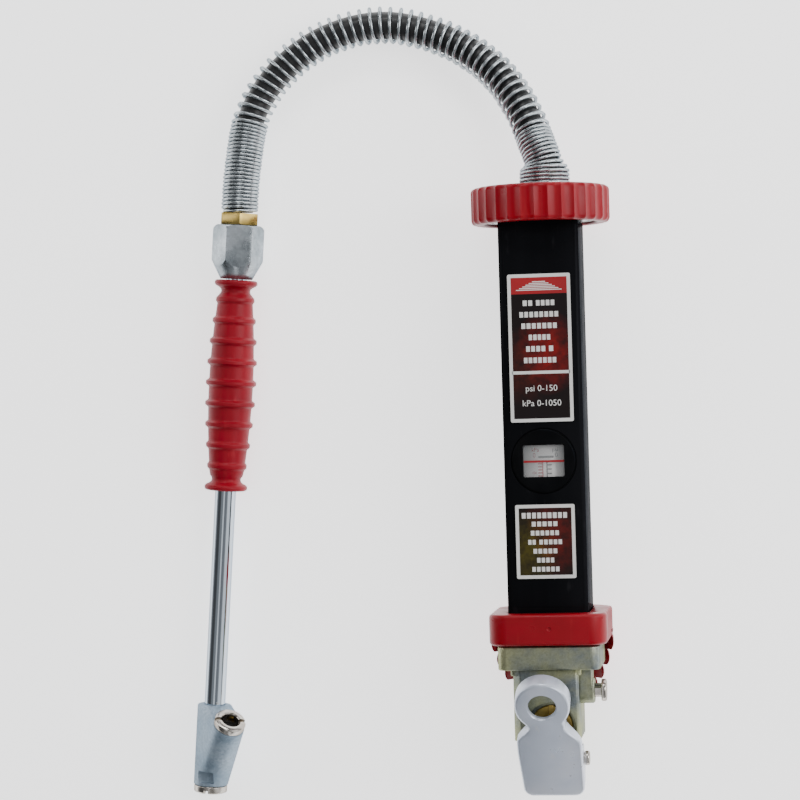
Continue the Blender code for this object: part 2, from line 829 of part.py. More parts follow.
def make_valve():
    frame = facing_frame(0, VALVE_Y)
    nut = [
        (0.0100, 0.0492),
        (0.0100, 0.0463),
        (0.0075, 0.0463),
        (0.0075, 0.0404),
        (0.0030, 0.0404),
        (0.0030, 0.0492),
    ]
    gland = turned("gland_nut", nut, frame, "brass")
    slot = block("gland_slot", (-0.0012, -0.0120, 0.0482), (0.0012, 0.0120, 0.0500), frame)
    cut(gland, slot)
    turned("gland_seal", ring_profile(0.0074, 0.0029, 0.0384, 0.0401), frame, "rubber", 16)
    turned("valve_seat", ring_profile(0.0075, 0.0034, 0.0333, 0.0352), frame, "brass", 16)
    tip = 0.0580
    stem_radius = 0.0024
    dome = arc(0, tip - stem_radius, stem_radius, 90, 0, 4)
    plunger = [(0 if x < 1e-6 else x, z) for x, z in dome] + [
        (stem_radius, 0.0300),
        (0.0052, 0.0300),
        (0.0052, 0.0285),
        (0.0020, 0.0285),
        (0.0020, 0.0268),
        (0, 0.0268),
    ]
    turned("valve_plunger", plunger, frame, "brass", 16)
    turned("plunger_seal", ring_profile(0.0052, 0.0027, 0.0303, 0.0330), frame, "rubber", 16)
    coil("valve_spring", 0.0042, 0.0006, 0.0197, 0.0282, 4, frame, "spring_steel")
    plug = [
        (0, 0.0194),
        (0.0055, 0.0194),
        (0.0060, 0.0189),
        (0.0060, 0.0137),
        (0.0087, 0.0137),
        (0.0087, 0.0108),
        (0, 0.0108),
    ]
    plug = turned("valve_plug", plug, frame, "brass", 24)
    slot = block("plug_slot", (-0.0100, -0.0009, 0.0098), (0.0100, 0.0009, 0.0120), frame)
    cut(plug, slot)


def make_deflate():
    frame = frame_along((1, 0, 0), (0, BUTTON_Y, BUTTON_Z), (0, 0, 1))
    head_top = 0.0251
    profile = [
        (0, head_top),
        (0.0046, head_top),
        (0.0051, head_top - 0.0005),
        (0.0051, 0.0228),
        (0.0032, 0.0228),
        (0.0032, 0.0160),
        (0.0016, 0.0160),
        (0.0016, -0.0015),
        (0.0034, -0.0015),
        (0.0034, -0.0030),
        (0, -0.0030),
    ]
    turned("deflate_button", profile, frame, "nickel", 16)
    seal = ring_profile(0.0036, 0.0019, -0.0012, 0.0017)
    turned("deflate_seal", seal, frame, "rubber", 12)
    coil("deflate_spring", 0.0026, 0.0003, 0.0086, 0.0157, 4, frame, "spring_steel")


# --- Lever -------------------------------------------------------------------------------------


def lever_outline(inset=0.0):
    """The lever seen square on: ring head, neck, shoulders and body. a runs along local Y."""
    radius = HEAD_RADIUS - inset
    head = arc(HEAD_X, HEAD_A, radius, -44, 224, 26)
    left = [
        (-0.0095 + inset, 0.0215),
        (-0.0154 + inset, 0.0150 - inset * 0.4),
        (-0.0154 + inset, 0.0080),
        (-0.0139 + inset, -0.0119),
    ]
    bottom_left = arc(-0.0139 + inset + 0.0042, -0.0119 + inset, 0.0042, 180, 270, 4)[1:]
    bottom_right = arc(0.0143 - inset - 0.0042, -0.0119 + inset, 0.0042, 270, 360, 4)
    right = [
        (0.0143 - inset, 0.0140 - inset * 0.4),
        (0.0071 - inset, 0.0210),
    ]
    return head + left + bottom_left + bottom_right + right


def make_lever():
    lever = prism("lever", [lever_outline()], CHEEK_BACK, PLATE_FRONT, LEVER_FRAME, "lever")
    round_edges(lever, 0.0006, 1, 60)
    hollow = prism(
        "lever_hollow",
        [lever_outline(WALL)],
        CHEEK_BACK - 0.001,
        PLATE_FRONT - PLATE_THICKNESS,
        LEVER_FRAME,
    )
    eye = rod(
        "lever_eye",
        RING_HOLE_RADIUS,
        CHEEK_BACK,
        PLATE_FRONT + 0.001,
        LEVER_FRAME @ Matrix.Translation((HEAD_X, HEAD_A, 0)),
        steps=32,
    )
    back = CHEEK_BACK - 0.001
    side_profile = [
        (-0.0200, back),
        (-0.0200, -0.0006),
        (-0.0105, -0.0006),
        (-0.0075, CHEEK_BACK),
        (0.0050, CHEEK_BACK),
        (0.0072, -0.0010),
        (0.0080, 0.0036),
        (0.0140, 0.0036),
        (0.0215, -0.0006),
        (0.0500, -0.0006),
        (0.0500, back),
    ]
    side_frame = LEVER_FRAME @ frame_along((1, 0, 0), (0, 0, 0), (0, 1, 0))
    relief = prism("lever_relief", [side_profile], -0.022, 0.022, side_frame)
    pin_frame = frame_along((1, 0, 0), (0, PIN_Y, PIN_Z), (0, 0, 1))
    pin_hole = rod("lever_pin_hole", PIN_HOLE_RADIUS, -0.022, 0.022, pin_frame, steps=24)
    cut(lever, hollow, eye, relief, pin_hole)


def make_pin():
    frame = frame_along((1, 0, 0), (0, PIN_Y, PIN_Z), (0, 0, 1))
    profile = [
        (0, 0.0170),
        (0.0028, 0.0170),
        (0.0033, 0.0165),
        (0.0033, 0.0147),
        (PIN_RADIUS, 0.0147),
        (PIN_RADIUS, -0.0109),
        (0.0019, -0.0109),
        (0.0019, -0.0119),
        (PIN_RADIUS, -0.0119),
        (PIN_RADIUS, -0.0143),
        (0, -0.0143),
    ]
    turned("lever_pin", profile, frame, "nickel", 16)
    clip = [arc(0, 0, 0.0042, 40, 320, 14) + arc(0, 0, 0.0022, 320, 40, 10)]
    prism("pin_clip", clip, -0.01175, -0.01105, frame, "spring_steel")


# --- Hose, guard and wand ----------------------------------------------------------------------


def smooth_route(points, step):
    """Points about a step apart on a smooth curve through the route's points."""
    route = [Vector(point) for point in points]
    ends = [route[0] * 2 - route[1], *route, route[-1] * 2 - route[-2]]
    smooth = [route[0]]
    for before, start, end, after in zip(ends, ends[1:], ends[2:], ends[3:]):
        pieces = max(1, round((end - start).length / step))
        left = start + (end - before) / 6
        right = end - (after - start) / 6
        smooth.extend(interpolate_bezier(start, left, right, end, pieces + 1)[1:])
    return smooth


def tube_curve(name, points, radii, depth, resolution, caps):
    curve = bpy.data.curves.new(name, "CURVE")
    curve.dimensions = "3D"
    curve.twist_mode = "MINIMUM"
    curve.bevel_depth = depth
    curve.bevel_resolution = resolution
    curve.use_fill_caps = caps
    spline = curve.splines.new("POLY")
    spline.points.add(len(points) - 1)
    for point, place_at, radius in zip(spline.points, points, radii):
        point.co = (*place_at, 1)
        point.radius = radius / depth
    return bpy.data.objects.new(name, curve)


def make_hose():
    points = smooth_route(HOSE_ROUTE, HOSE_STEP)
    hose = tube_curve("hose", points, [HOSE_RADIUS] * len(points), HOSE_RADIUS, 4, True)
    hose.data.materials.append(Workshop.materials["hose_rubber"])
    Workshop.parts.objects.link(hose)


def make_spring_guard():
    """The outer shape of the wire guard: a sleeve with a bell at the cap, not its turns of wire."""
    points = smooth_route(HOSE_ROUTE, HOSE_STEP)
    first = points[0] - Vector((0, points[0].y - (RING_TOP + GAP), 0))
    bell_end = Vector((points[0].x, RING_TOP + 0.0086, points[0].z))
    shoulder = Vector((points[0].x - 0.0002, RING_TOP + 0.0104, points[0].z))
    body = [point for point in points if (point - shoulder).length > 0.006 and point != points[0]]
    along = [first, bell_end, shoulder, *body]
    radii = [GUARD_BELL_RADIUS, GUARD_BELL_RADIUS] + [GUARD_RADIUS] * (len(along) - 2)
    sleeve = tube_curve("spring_guard", along, radii, GUARD_RADIUS, 4, False)
    Workshop.cutters.objects.link(sleeve)
    guard = place("spring_guard", evaluated_mesh(sleeve), WORLD, "guard_wire")
    shell = guard.modifiers.new("wall", "SOLIDIFY")
    shell.thickness = GUARD_WALL
    shell.offset = -1
    shell.use_even_offset = True


def make_coupling():
    hexagon = circle(0.01005, 6, start=math.radians(103))
    coupling = prism("hose_coupling", [hexagon], GAP, COUPLING_TOP, WAND_FRAME, "brass")
    spigot = [
        (0, 0.0020),
        (0.0052, 0.0020),
        (0.0052, -0.0060),
        (0.0040, -0.0060),
        (0.0040, -0.0088),
        (0.0052, -0.0088),
        (0.0052, -0.0105),
        (0.0030, -0.0125),
        (0, -0.0125),
    ]
    join(coupling, turned("coupling_spigot", spigot, WAND_FRAME, steps=16))
    bore = rod("coupling_bore", 0.0022, -0.014, COUPLING_TOP + 0.001, WAND_FRAME, steps=12)
    cut(coupling, bore)


def make_swivel():
    turned("swivel_seal", ring_profile(0.0053, 0.0043, -0.0085, -0.0063), WAND_FRAME, "rubber", 16)
    hexagon = circle(NUT_CORNER_RADIUS, 6, start=math.radians(14))
    nut = prism("swivel_nut", [hexagon], NUT_END - 0.001, 0, WAND_FRAME, "zinc_bright")
    envelope = [
        (0, 0.0001),
        (0.0105, 0.0001),
        (NUT_CORNER_RADIUS + 0.0001, -0.0020),
        (NUT_CORNER_RADIUS + 0.0001, NUT_HEX_END),
        (NUT_END_RADIUS, NUT_END),
        (0, NUT_END),
    ]
    bore = [
        (0, 0.001),
        (0.0056, 0.001),
        (0.0056, -0.0140),
        (0.0030, -0.0150),
        (0.0030, -0.0172),
        (TUBE_RADIUS + GAP, -0.0172),
        (TUBE_RADIUS + GAP, NUT_END - 0.001),
        (0, NUT_END - 0.001),
    ]
    cut(nut, turned("nut_bore", bore, WAND_FRAME, steps=16))
    keep_inside(nut, turned("nut_envelope", envelope, WAND_FRAME, steps=36))
    tube = ring_profile(TUBE_RADIUS, 0.0034, CHUCK_TOP - 0.0120, -0.0175)
    turned("wand_tube", tube, WAND_FRAME, "chrome", 32)


def grip_profile():
    """Ribs on a bulging body between two end flanges, listed down the outer side."""
    flange_radius = 0.01035
    neck_radius = 0.0070
    bottom = GRIP_TOP - GRIP_LENGTH
    bore = TUBE_RADIUS + GAP
    profile = [
        (bore, GRIP_TOP),
        (flange_radius - 0.0008, GRIP_TOP),
        (flange_radius, GRIP_TOP - 0.0008),
        (flange_radius, GRIP_TOP - 0.0022),
        (neck_radius, GRIP_TOP - 0.0042),
    ]
    pitch = 0.01005
    first = GRIP_TOP - 0.0094
    for i in range(GRIP_RIBS):
        height = first - pitch * i
        share = (GRIP_TOP - height) / GRIP_LENGTH
        crest = 0.0081 + 0.0041 * math.sin(math.pi * share)
        groove = crest - 0.0014
        profile += [(groove, height + 0.0046), (crest, height + 0.0014), (crest, height - 0.0014)]
    profile += [
        (0.0078, bottom + 0.0062),
        (neck_radius, bottom + 0.0042),
        (flange_radius, bottom + 0.0022),
        (flange_radius, bottom + 0.0008),
        (flange_radius - 0.0008, bottom),
        (bore, bottom),
    ]
    return profile


def make_grip():
    turned("grip", grip_profile(), WAND_FRAME, "red_grip", 20)


def foot_frames():
    """(name, frame, ring radius) of each foot: local Z looks out of the chuck's foot."""
    front = WAND_FRAME @ Matrix.Translation((0, 0, CHUCK_BASE)) @ Matrix.Rotation(math.pi, 4, "X")
    direction = BRANCH_DIRECTION.normalized()
    start = Vector((0, 0, BRANCH_START)) + direction * BRANCH_LENGTH
    rear = WAND_FRAME @ frame_along(direction, start, (1, 0, 0))
    return (("front_foot", front, 0.0080), ("rear_foot", rear, 0.0075))


def hull_of_circles(name, circles, frame, material):
    """The convex body around a few circles: each is (frame, radius, height)."""
    bm = bmesh.new()
    for circle_frame, radius, height in circles:
        for x, y in circle(radius, 24):
            bm.verts.new(circle_frame @ Vector((x, y, height)))
    hull = bmesh.ops.convex_hull(bm, input=bm.verts)
    loose = {item for item in hull["geom_interior"] + hull["geom_unused"]}
    bmesh.ops.delete(bm, geom=[v for v in loose if isinstance(v, bmesh.types.BMVert)])
    return place(name, finish_mesh(bm, name), frame, material)


def make_chuck():
    to_wand = WAND_FRAME.inverted()
    (_, front, _), (_, rear, _) = foot_frames()
    front_local = to_wand @ front
    rear_local = to_wand @ rear
    rim = 0.0010
    circles = [
        (Matrix.Identity(4), CHUCK_RADIUS - rim, CHUCK_TOP),
        (Matrix.Identity(4), CHUCK_RADIUS, CHUCK_TOP - rim),
        (front_local, CHUCK_RADIUS, 0),
        (rear_local, BRANCH_RADIUS, 0),
    ]
    chuck = hull_of_circles("chuck_body", circles, WAND_FRAME, "zinc_satin")
    tube_hole = rod("tube_hole", TUBE_RADIUS + GAP, CHUCK_TOP - 0.0125, CHUCK_TOP + 0.001,
                    WAND_FRAME, steps=32)
    main_way = rod("main_way", 0.0020, CHUCK_BASE + 0.005, CHUCK_TOP - 0.011, WAND_FRAME, steps=12)
    pocket = block(
        "foot_pocket",
        (-0.0060, -0.0250, -0.2690),
        (0.0034, -0.0074, -0.2632),
        WAND_FRAME,
    )
    cut(chuck, tube_hole, main_way, pocket)
    for name, frame, _ in foot_frames():
        cavity = [
            (0, 0.001),
            (0.0056, 0.001),
            (0.0056, -0.0100),
            (0.0034, -0.0100),
            (0.0034, -0.0172),
            (0, -0.0172),
        ]
        cut(chuck, turned(f"{name}_cavity", cavity, frame, steps=24))
    branch_way = rod("branch_way", 0.0018, -BRANCH_LENGTH, -0.016, rear, steps=10)
    cut(chuck, branch_way)


def make_foot(name, frame, radius):
    face = 0.0039
    ring = [
        (4 * radius / 5, face),
        (radius, face - 0.0008),
        (radius, GAP),
        (0.0053, GAP),
        (0.0053, -0.0023),
        (0.0043, -0.0023),
        (0.0043, face - 0.0006),
        (0.0048, face),
    ]
    ring = turned(f"{name}_ring", ring, frame, "nickel")
    slot = block(f"{name}_slot", (-0.0100, -0.0009, face - 0.0011), (0.0100, 0.0009, 0.0050), frame)
    cut(ring, slot)
    turned(f"{name}_seal", ring_profile(0.0053, 0.0027, -0.0056, -0.0026), frame, "rubber", 16)
    pin = [
        (0, -0.0015),
        (0.0012, -0.0015),
        (0.0012, -0.0059),
        (0.0044, -0.0059),
        (0.0044, -0.0074),
        (0, -0.0074),
    ]
    turned(f"{name}_pin", pin, frame, "brass", 12)
    coil(f"{name}_spring", 0.0026, 0.0004, -0.0169, -0.0077, 3, frame, "spring_steel")


# --- Build -------------------------------------------------------------------------------------

MATERIALS = {
    "anodised": ((0.012, 0.012, 0.014), 0.35, 0.4),
    "bezel": ((0.010, 0.010, 0.010), 0.30),
    "lens": ((0.85, 0.88, 0.88), 0.05, 0.0, 0.3),
    "label": ((0.10, 0.012, 0.010), 0.35),
    "scale_white": ((0.80, 0.80, 0.76), 0.5),
    "nylon_black": ((0.02, 0.02, 0.02), 0.5),
    "nylon_white": ((0.75, 0.74, 0.70), 0.5),
    "rubber": ((0.015, 0.015, 0.015), 0.8),
    "cap_grey": ((0.55, 0.56, 0.57), 0.35, 0.9),
    "red": ((0.50, 0.004, 0.018), 0.35),
    "red_grip": ((0.50, 0.006, 0.025), 0.45),
    "brass": ((0.62, 0.46, 0.20), 0.30, 1.0),
    "bronze": ((0.45, 0.30, 0.16), 0.6, 0.8),
    "screw_steel": ((0.50, 0.50, 0.50), 0.35, 1.0),
    "spring_steel": ((0.45, 0.45, 0.46), 0.35, 1.0),
    "guard_wire": ((0.62, 0.64, 0.65), 0.28, 1.0),
    "zinc_yellow": ((0.60, 0.62, 0.50), 0.38, 0.9),
    "zinc_bright": ((0.68, 0.72, 0.75), 0.30, 0.9),
    "zinc_satin": ((0.52, 0.60, 0.66), 0.38, 0.9),
    "nickel": ((0.70, 0.67, 0.62), 0.22, 1.0),
    "lever": ((0.60, 0.62, 0.65), 0.45, 0.8),
    "chrome": ((0.75, 0.77, 0.80), 0.08, 1.0),
    "hose_rubber": ((0.012, 0.012, 0.012), 0.55),
}


def main():
    clear_scene()
    Workshop.parts = make_collection(COLLECTION)
    Workshop.cutters = make_collection("cutters")
    for name, values in MATERIALS.items():
        Workshop.materials[name] = make_material(name, *values)
    make_barrel()
    make_sight()
    make_labels()
    make_end_gaskets()
    make_gauge()
    make_cap()
    make_top_bumper()
    make_hose_adaptor()
    make_tie_rods()
    make_lower_bumper()
    make_valve_body()
    make_inlet()
    make_valve()
    make_deflate()
    make_lever()
    make_pin()
    make_hose()
    make_spring_guard()
    make_coupling()
    make_swivel()
    make_grip()
    make_chuck()
    for name, frame, radius in foot_frames():
        make_foot(name, frame, radius)
    for obj in Workshop.parts.objects:
        if obj.type == "MESH":
            shade_round(obj)


main()
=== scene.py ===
"""Looks of the tyre inflator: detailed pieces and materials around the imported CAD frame."""

import json
import math

import bmesh
import bpy
from mathutils import Matrix, Vector
from mathutils.geometry import interpolate_bezier


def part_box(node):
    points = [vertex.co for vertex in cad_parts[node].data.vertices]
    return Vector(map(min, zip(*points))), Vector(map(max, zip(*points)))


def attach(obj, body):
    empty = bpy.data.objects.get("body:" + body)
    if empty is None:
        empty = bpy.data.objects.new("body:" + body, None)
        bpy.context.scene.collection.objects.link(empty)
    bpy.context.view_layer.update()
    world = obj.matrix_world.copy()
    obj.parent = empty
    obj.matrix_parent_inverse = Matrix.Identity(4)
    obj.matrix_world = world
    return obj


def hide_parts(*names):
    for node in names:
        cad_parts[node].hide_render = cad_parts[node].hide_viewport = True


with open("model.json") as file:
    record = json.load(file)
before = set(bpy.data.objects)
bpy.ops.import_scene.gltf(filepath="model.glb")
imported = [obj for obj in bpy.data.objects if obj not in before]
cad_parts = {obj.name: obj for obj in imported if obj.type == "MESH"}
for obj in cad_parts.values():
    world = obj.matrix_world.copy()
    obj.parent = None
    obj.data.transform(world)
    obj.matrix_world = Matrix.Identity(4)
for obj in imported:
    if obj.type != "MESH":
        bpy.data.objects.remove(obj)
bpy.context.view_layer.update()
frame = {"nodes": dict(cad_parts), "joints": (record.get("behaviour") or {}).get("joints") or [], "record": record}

MM = 0.001  # every builder below takes millimetres
PRINT_THICKNESS = 0.03


def box_mm(node):
    low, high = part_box(node)
    return low / MM, high / MM


def middle(node):
    low, high = box_mm(node)
    return (low + high) / 2


def joint(name):
    return next(j for j in frame["joints"] if j["name"] == name)


def add_object(name, data):
    obj = bpy.data.objects.new(name, data)
    bpy.context.scene.collection.objects.link(obj)
    return obj


# --- Camera, floor and light -------------------------------------------------------------------

LENS_MM = 112.5
TARGET = Vector((-67.08, 108.18, 41.79)) * MM
DISTANCE = 1.165
TILT = math.radians(8.3)
ROLL = math.radians(1.6)


def make_camera():
    right = Vector((math.cos(TILT), 0, -math.sin(TILT)))
    up = Vector((0, 1, 0))
    back = Vector((math.sin(TILT), 0, math.cos(TILT)))
    rolled_up = math.cos(ROLL) * up + math.sin(ROLL) * right
    rolled_right = math.cos(ROLL) * right - math.sin(ROLL) * up
    data = bpy.data.cameras.new("camera")
    data.lens = LENS_MM
    data.sensor_width = 36
    data.clip_start = 0.02
    camera = add_object("camera", data)
    camera.matrix_world = Matrix((rolled_right, rolled_up, back)).transposed().to_4x4()
    camera.matrix_world.translation = TARGET + back * DISTANCE
    bpy.context.scene.camera = camera


def make_light(name, size, energy, place, target):
    data = bpy.data.lights.new(name, "AREA")
    data.shape = "RECTANGLE"
    data.size, data.size_y = size
    data.energy = energy
    turn = (place - target).to_track_quat("Z", "Y").to_matrix().to_4x4()
    add_object(name, data).matrix_world = Matrix.Translation(place) @ turn


def make_surroundings():
    mesh = bpy.data.meshes.new("floor")
    mesh.from_pydata([(-4, -4, 0), (4, -4, 0), (4, 4, 0), (-4, 4, 0)], [], [(0, 1, 2, 3)])
    material = bpy.data.materials.new("floor_white")
    material.use_nodes = True
    shader = material.node_tree.nodes["Principled BSDF"]
    shader.inputs["Base Color"].default_value = (0.93, 0.93, 0.93, 1)
    shader.inputs["Roughness"].default_value = 0.9
    shader.inputs["Emission Color"].default_value = (1, 1, 1, 1)
    shader.inputs["Emission Strength"].default_value = 1.6
    mesh.materials.append(material)
    add_object("floor", mesh)

    world = bpy.data.worlds.new("studio")
    bpy.context.scene.world = world
    world.use_nodes = True
    nodes = world.node_tree.nodes
    links = world.node_tree.links
    coords = nodes.new("ShaderNodeTexCoord")
    split = nodes.new("ShaderNodeSeparateXYZ")
    ramp = nodes.new("ShaderNodeValToRGB")
    stops = ((0.00, 0.55), (0.04, 0.10), (0.18, 0.10), (0.27, 0.36), (0.42, 0.34), (0.475, 1.3),
             (0.525, 1.3), (0.58, 0.30), (0.78, 0.34), (0.86, 1.35), (0.96, 1.25), (1.00, 0.6))
    for i, (position, value) in enumerate(stops):
        element = ramp.color_ramp.elements[i] if i < 2 else ramp.color_ramp.elements.new(position)
        element.position = position
        element.color = (value, value * 1.01, value * 1.04, 1)
    links.new(coords.outputs["Generated"], split.inputs[0])
    scale = nodes.new("ShaderNodeMapRange")
    scale.inputs["From Min"].default_value = -1
    links.new(split.outputs["X"], scale.inputs["Value"])
    links.new(scale.outputs["Result"], ramp.inputs["Fac"])
    links.new(ramp.outputs["Color"], nodes["Background"].inputs["Color"])
    nodes["Background"].inputs["Strength"].default_value = 0.85

    for name, size, energy, offset in (
        ("key", (0.5, 1.2), 9.0, (1.05, 0.3, 0.75)),
        ("fill", (0.4, 1.2), 4.0, (-1.15, 0.35, 0.45)),
        ("top", (0.9, 0.3), 6.0, (0.1, 1.15, 0.8)),
    ):
        make_light(name, size, energy, TARGET + Vector(offset), TARGET)


# --- Materials ---------------------------------------------------------------------------------


class Graph:
    """A small helper that adds shader nodes to one material."""

    def __init__(self, name):
        self.material = bpy.data.materials.new(name)
        self.material.use_nodes = True
        self.tree = self.material.node_tree
        self.shader = self.tree.nodes["Principled BSDF"]
        self.coords = self.add("TexCoord").outputs["Object"]

    def add(self, kind, **inputs):
        node = self.tree.nodes.new("ShaderNode" + kind)
        for key, value in inputs.items():
            node.inputs[key.replace("_", " ")].default_value = value
        return node

    def link(self, output, target):
        self.tree.links.new(output, target)

    def mapped(self, stretch, shift=(0, 0, 0)):
        mapping = self.add("Mapping", Scale=stretch, Location=shift)
        self.link(self.coords, mapping.inputs["Vector"])
        return mapping.outputs["Vector"]

    def noise(self, scale, detail=3.0, stretch=(1, 1, 1)):
        node = self.add("TexNoise", Scale=scale, Detail=detail)
        self.link(self.mapped(stretch), node.inputs["Vector"])
        return node.outputs["Fac"]

    def cells(self, scale):
        node = self.add("TexVoronoi", Scale=scale)
        self.link(self.coords, node.inputs["Vector"])
        split = self.add("SeparateColor")
        self.link(node.outputs["Color"], split.inputs[0])
        return split.outputs[0]

    def ramp(self, value, stops):
        node = self.add("ValToRGB")
        ramp = node.color_ramp
        ramp.elements[0].position = stops[0][0]
        ramp.elements[0].color = (*stops[0][1], 1)
        ramp.elements[1].position = stops[-1][0]
        ramp.elements[1].color = (*stops[-1][1], 1)
        for position, colour in stops[1:-1]:
            ramp.elements.new(position).color = (*colour, 1)
        self.link(value, node.inputs["Fac"])
        return node.outputs["Color"]

    def spread(self, value, low, high, start=0.3, end=0.7):
        node = self.add("MapRange")
        numbers = {"From Min": start, "From Max": end, "To Min": low, "To Max": high}
        for key, number in numbers.items():
            node.inputs[key].default_value = number
        self.link(value, node.inputs["Value"])
        return node.outputs["Result"]

    def mix(self, under, over, kind="MIX", share=1.0):
        """Lays the colour over on under; both may be a socket, and so may the share."""
        node = self.add("Mix")
        node.data_type = "RGBA"
        node.blend_type = kind
        for socket, value in (("Factor", share), (6, under), (7, over)):
            if isinstance(value, bpy.types.NodeSocket):
                self.link(value, node.inputs[socket])
            else:
                node.inputs[socket].default_value = value
        return node.outputs[2]

    def bump(self, value, strength, distance, under=None):
        node = self.add("Bump", Strength=strength, Distance=distance)
        self.link(value, node.inputs["Height"])
        if under is not None:
            self.link(under, node.inputs["Normal"])
        return node.outputs["Normal"]


def shade(colour, amount):
    return tuple(min(1.0, channel * amount) for channel in colour)


def make_material(
    name,
    colour,
    roughness,
    metallic=0.0,
    tint=(0.9, 1.1),
    tint_scale=45,
    other=None,
    rough_vary=0.06,
    grain=(0.15, 2600, 0.00005),
    stretch=(1, 1, 1),
    cells=0,
    coat=0.0,
    wear=None,
):
    """A material whose colour, roughness and grain all vary over the surface.

    other is a second colour that patches of the surface lean to, cells the size of a crystal
    pattern, and wear the colour of thin rubbed marks.
    """
    graph = Graph(name)
    patches = graph.noise(tint_scale, 4, stretch)
    stops = [(0.36, shade(colour, tint[0])), (0.64, shade(other or colour, tint[1]))]
    colour_out = graph.ramp(patches, stops)
    if cells:
        crystals = graph.ramp(graph.cells(cells), [(0.0, (0.62,) * 3), (1.0, (1.0,) * 3)])
        colour_out = graph.mix(colour_out, crystals, "MULTIPLY", 0.55)
    if wear:
        marks = graph.noise(260, 6, (1, 0.25, 1))
        mask = graph.spread(marks, 0, 0.6, 0.62, 0.74)
        colour_out = graph.mix(colour_out, (*wear, 1), share=mask)
    graph.link(colour_out, graph.shader.inputs["Base Color"])
    smudges = graph.noise(140, 5)
    low = max(0.03, roughness - rough_vary)
    graph.link(graph.spread(smudges, low, roughness + rough_vary), graph.shader.inputs["Roughness"])
    strength, scale, distance = grain
    normal = graph.bump(graph.noise(scale, 3, stretch), strength, distance)
    if cells:
        normal = graph.bump(graph.cells(cells), 0.10, 0.00008, normal)
    graph.link(normal, graph.shader.inputs["Normal"])
    graph.shader.inputs["Metallic"].default_value = metallic
    graph.shader.inputs["Coat Weight"].default_value = coat
    graph.shader.inputs["Coat Roughness"].default_value = 0.18
    return graph.material


def make_label_material(name, centre_mm, dark, painted_sheen, second):
    """A printed background: dark, with two soft glows of painted sheen, the light's reflection on the label tinted
    by its ink.
    """
    graph = Graph(name)
    colour_out = None
    # Painted sheen: each glow is a soft spherical patch of the light's reflection on the label, painted into the
    # base colour with flecks.
    for place, tone, reach in (
        ((centre_mm[0] + 3, centre_mm[1] + 2), painted_sheen, 16),
        ((centre_mm[0] - 8, centre_mm[1] - 4), second, 15),
    ):
        size = 1 / (reach * MM)
        shift = (-place[0] * MM * size, -place[1] * MM * size * 0.8, 0)
        gradient = graph.add("TexGradient")
        gradient.gradient_type = "SPHERICAL"
        graph.link(graph.mapped((size, size * 0.8, 0), shift), gradient.inputs["Vector"])
        flecks = graph.noise(320, 5)
        product = graph.add("Math")
        product.operation = "MULTIPLY"
        graph.link(gradient.outputs["Fac"], product.inputs[0])
        graph.link(graph.spread(flecks, 0.25, 1.2), product.inputs[1])
        tone_out = graph.ramp(product.outputs[0], [(0.0, dark), (0.75, tone)])
        first = colour_out is None
        colour_out = tone_out if first else graph.mix(colour_out, tone_out, "LIGHTEN")
    graph.link(colour_out, graph.shader.inputs["Base Color"])
    graph.link(graph.spread(graph.noise(90, 3), 0.28, 0.42), graph.shader.inputs["Roughness"])
    graph.link(graph.bump(graph.noise(1500, 2), 0.05, 0.00003), graph.shader.inputs["Normal"])
    return graph.material


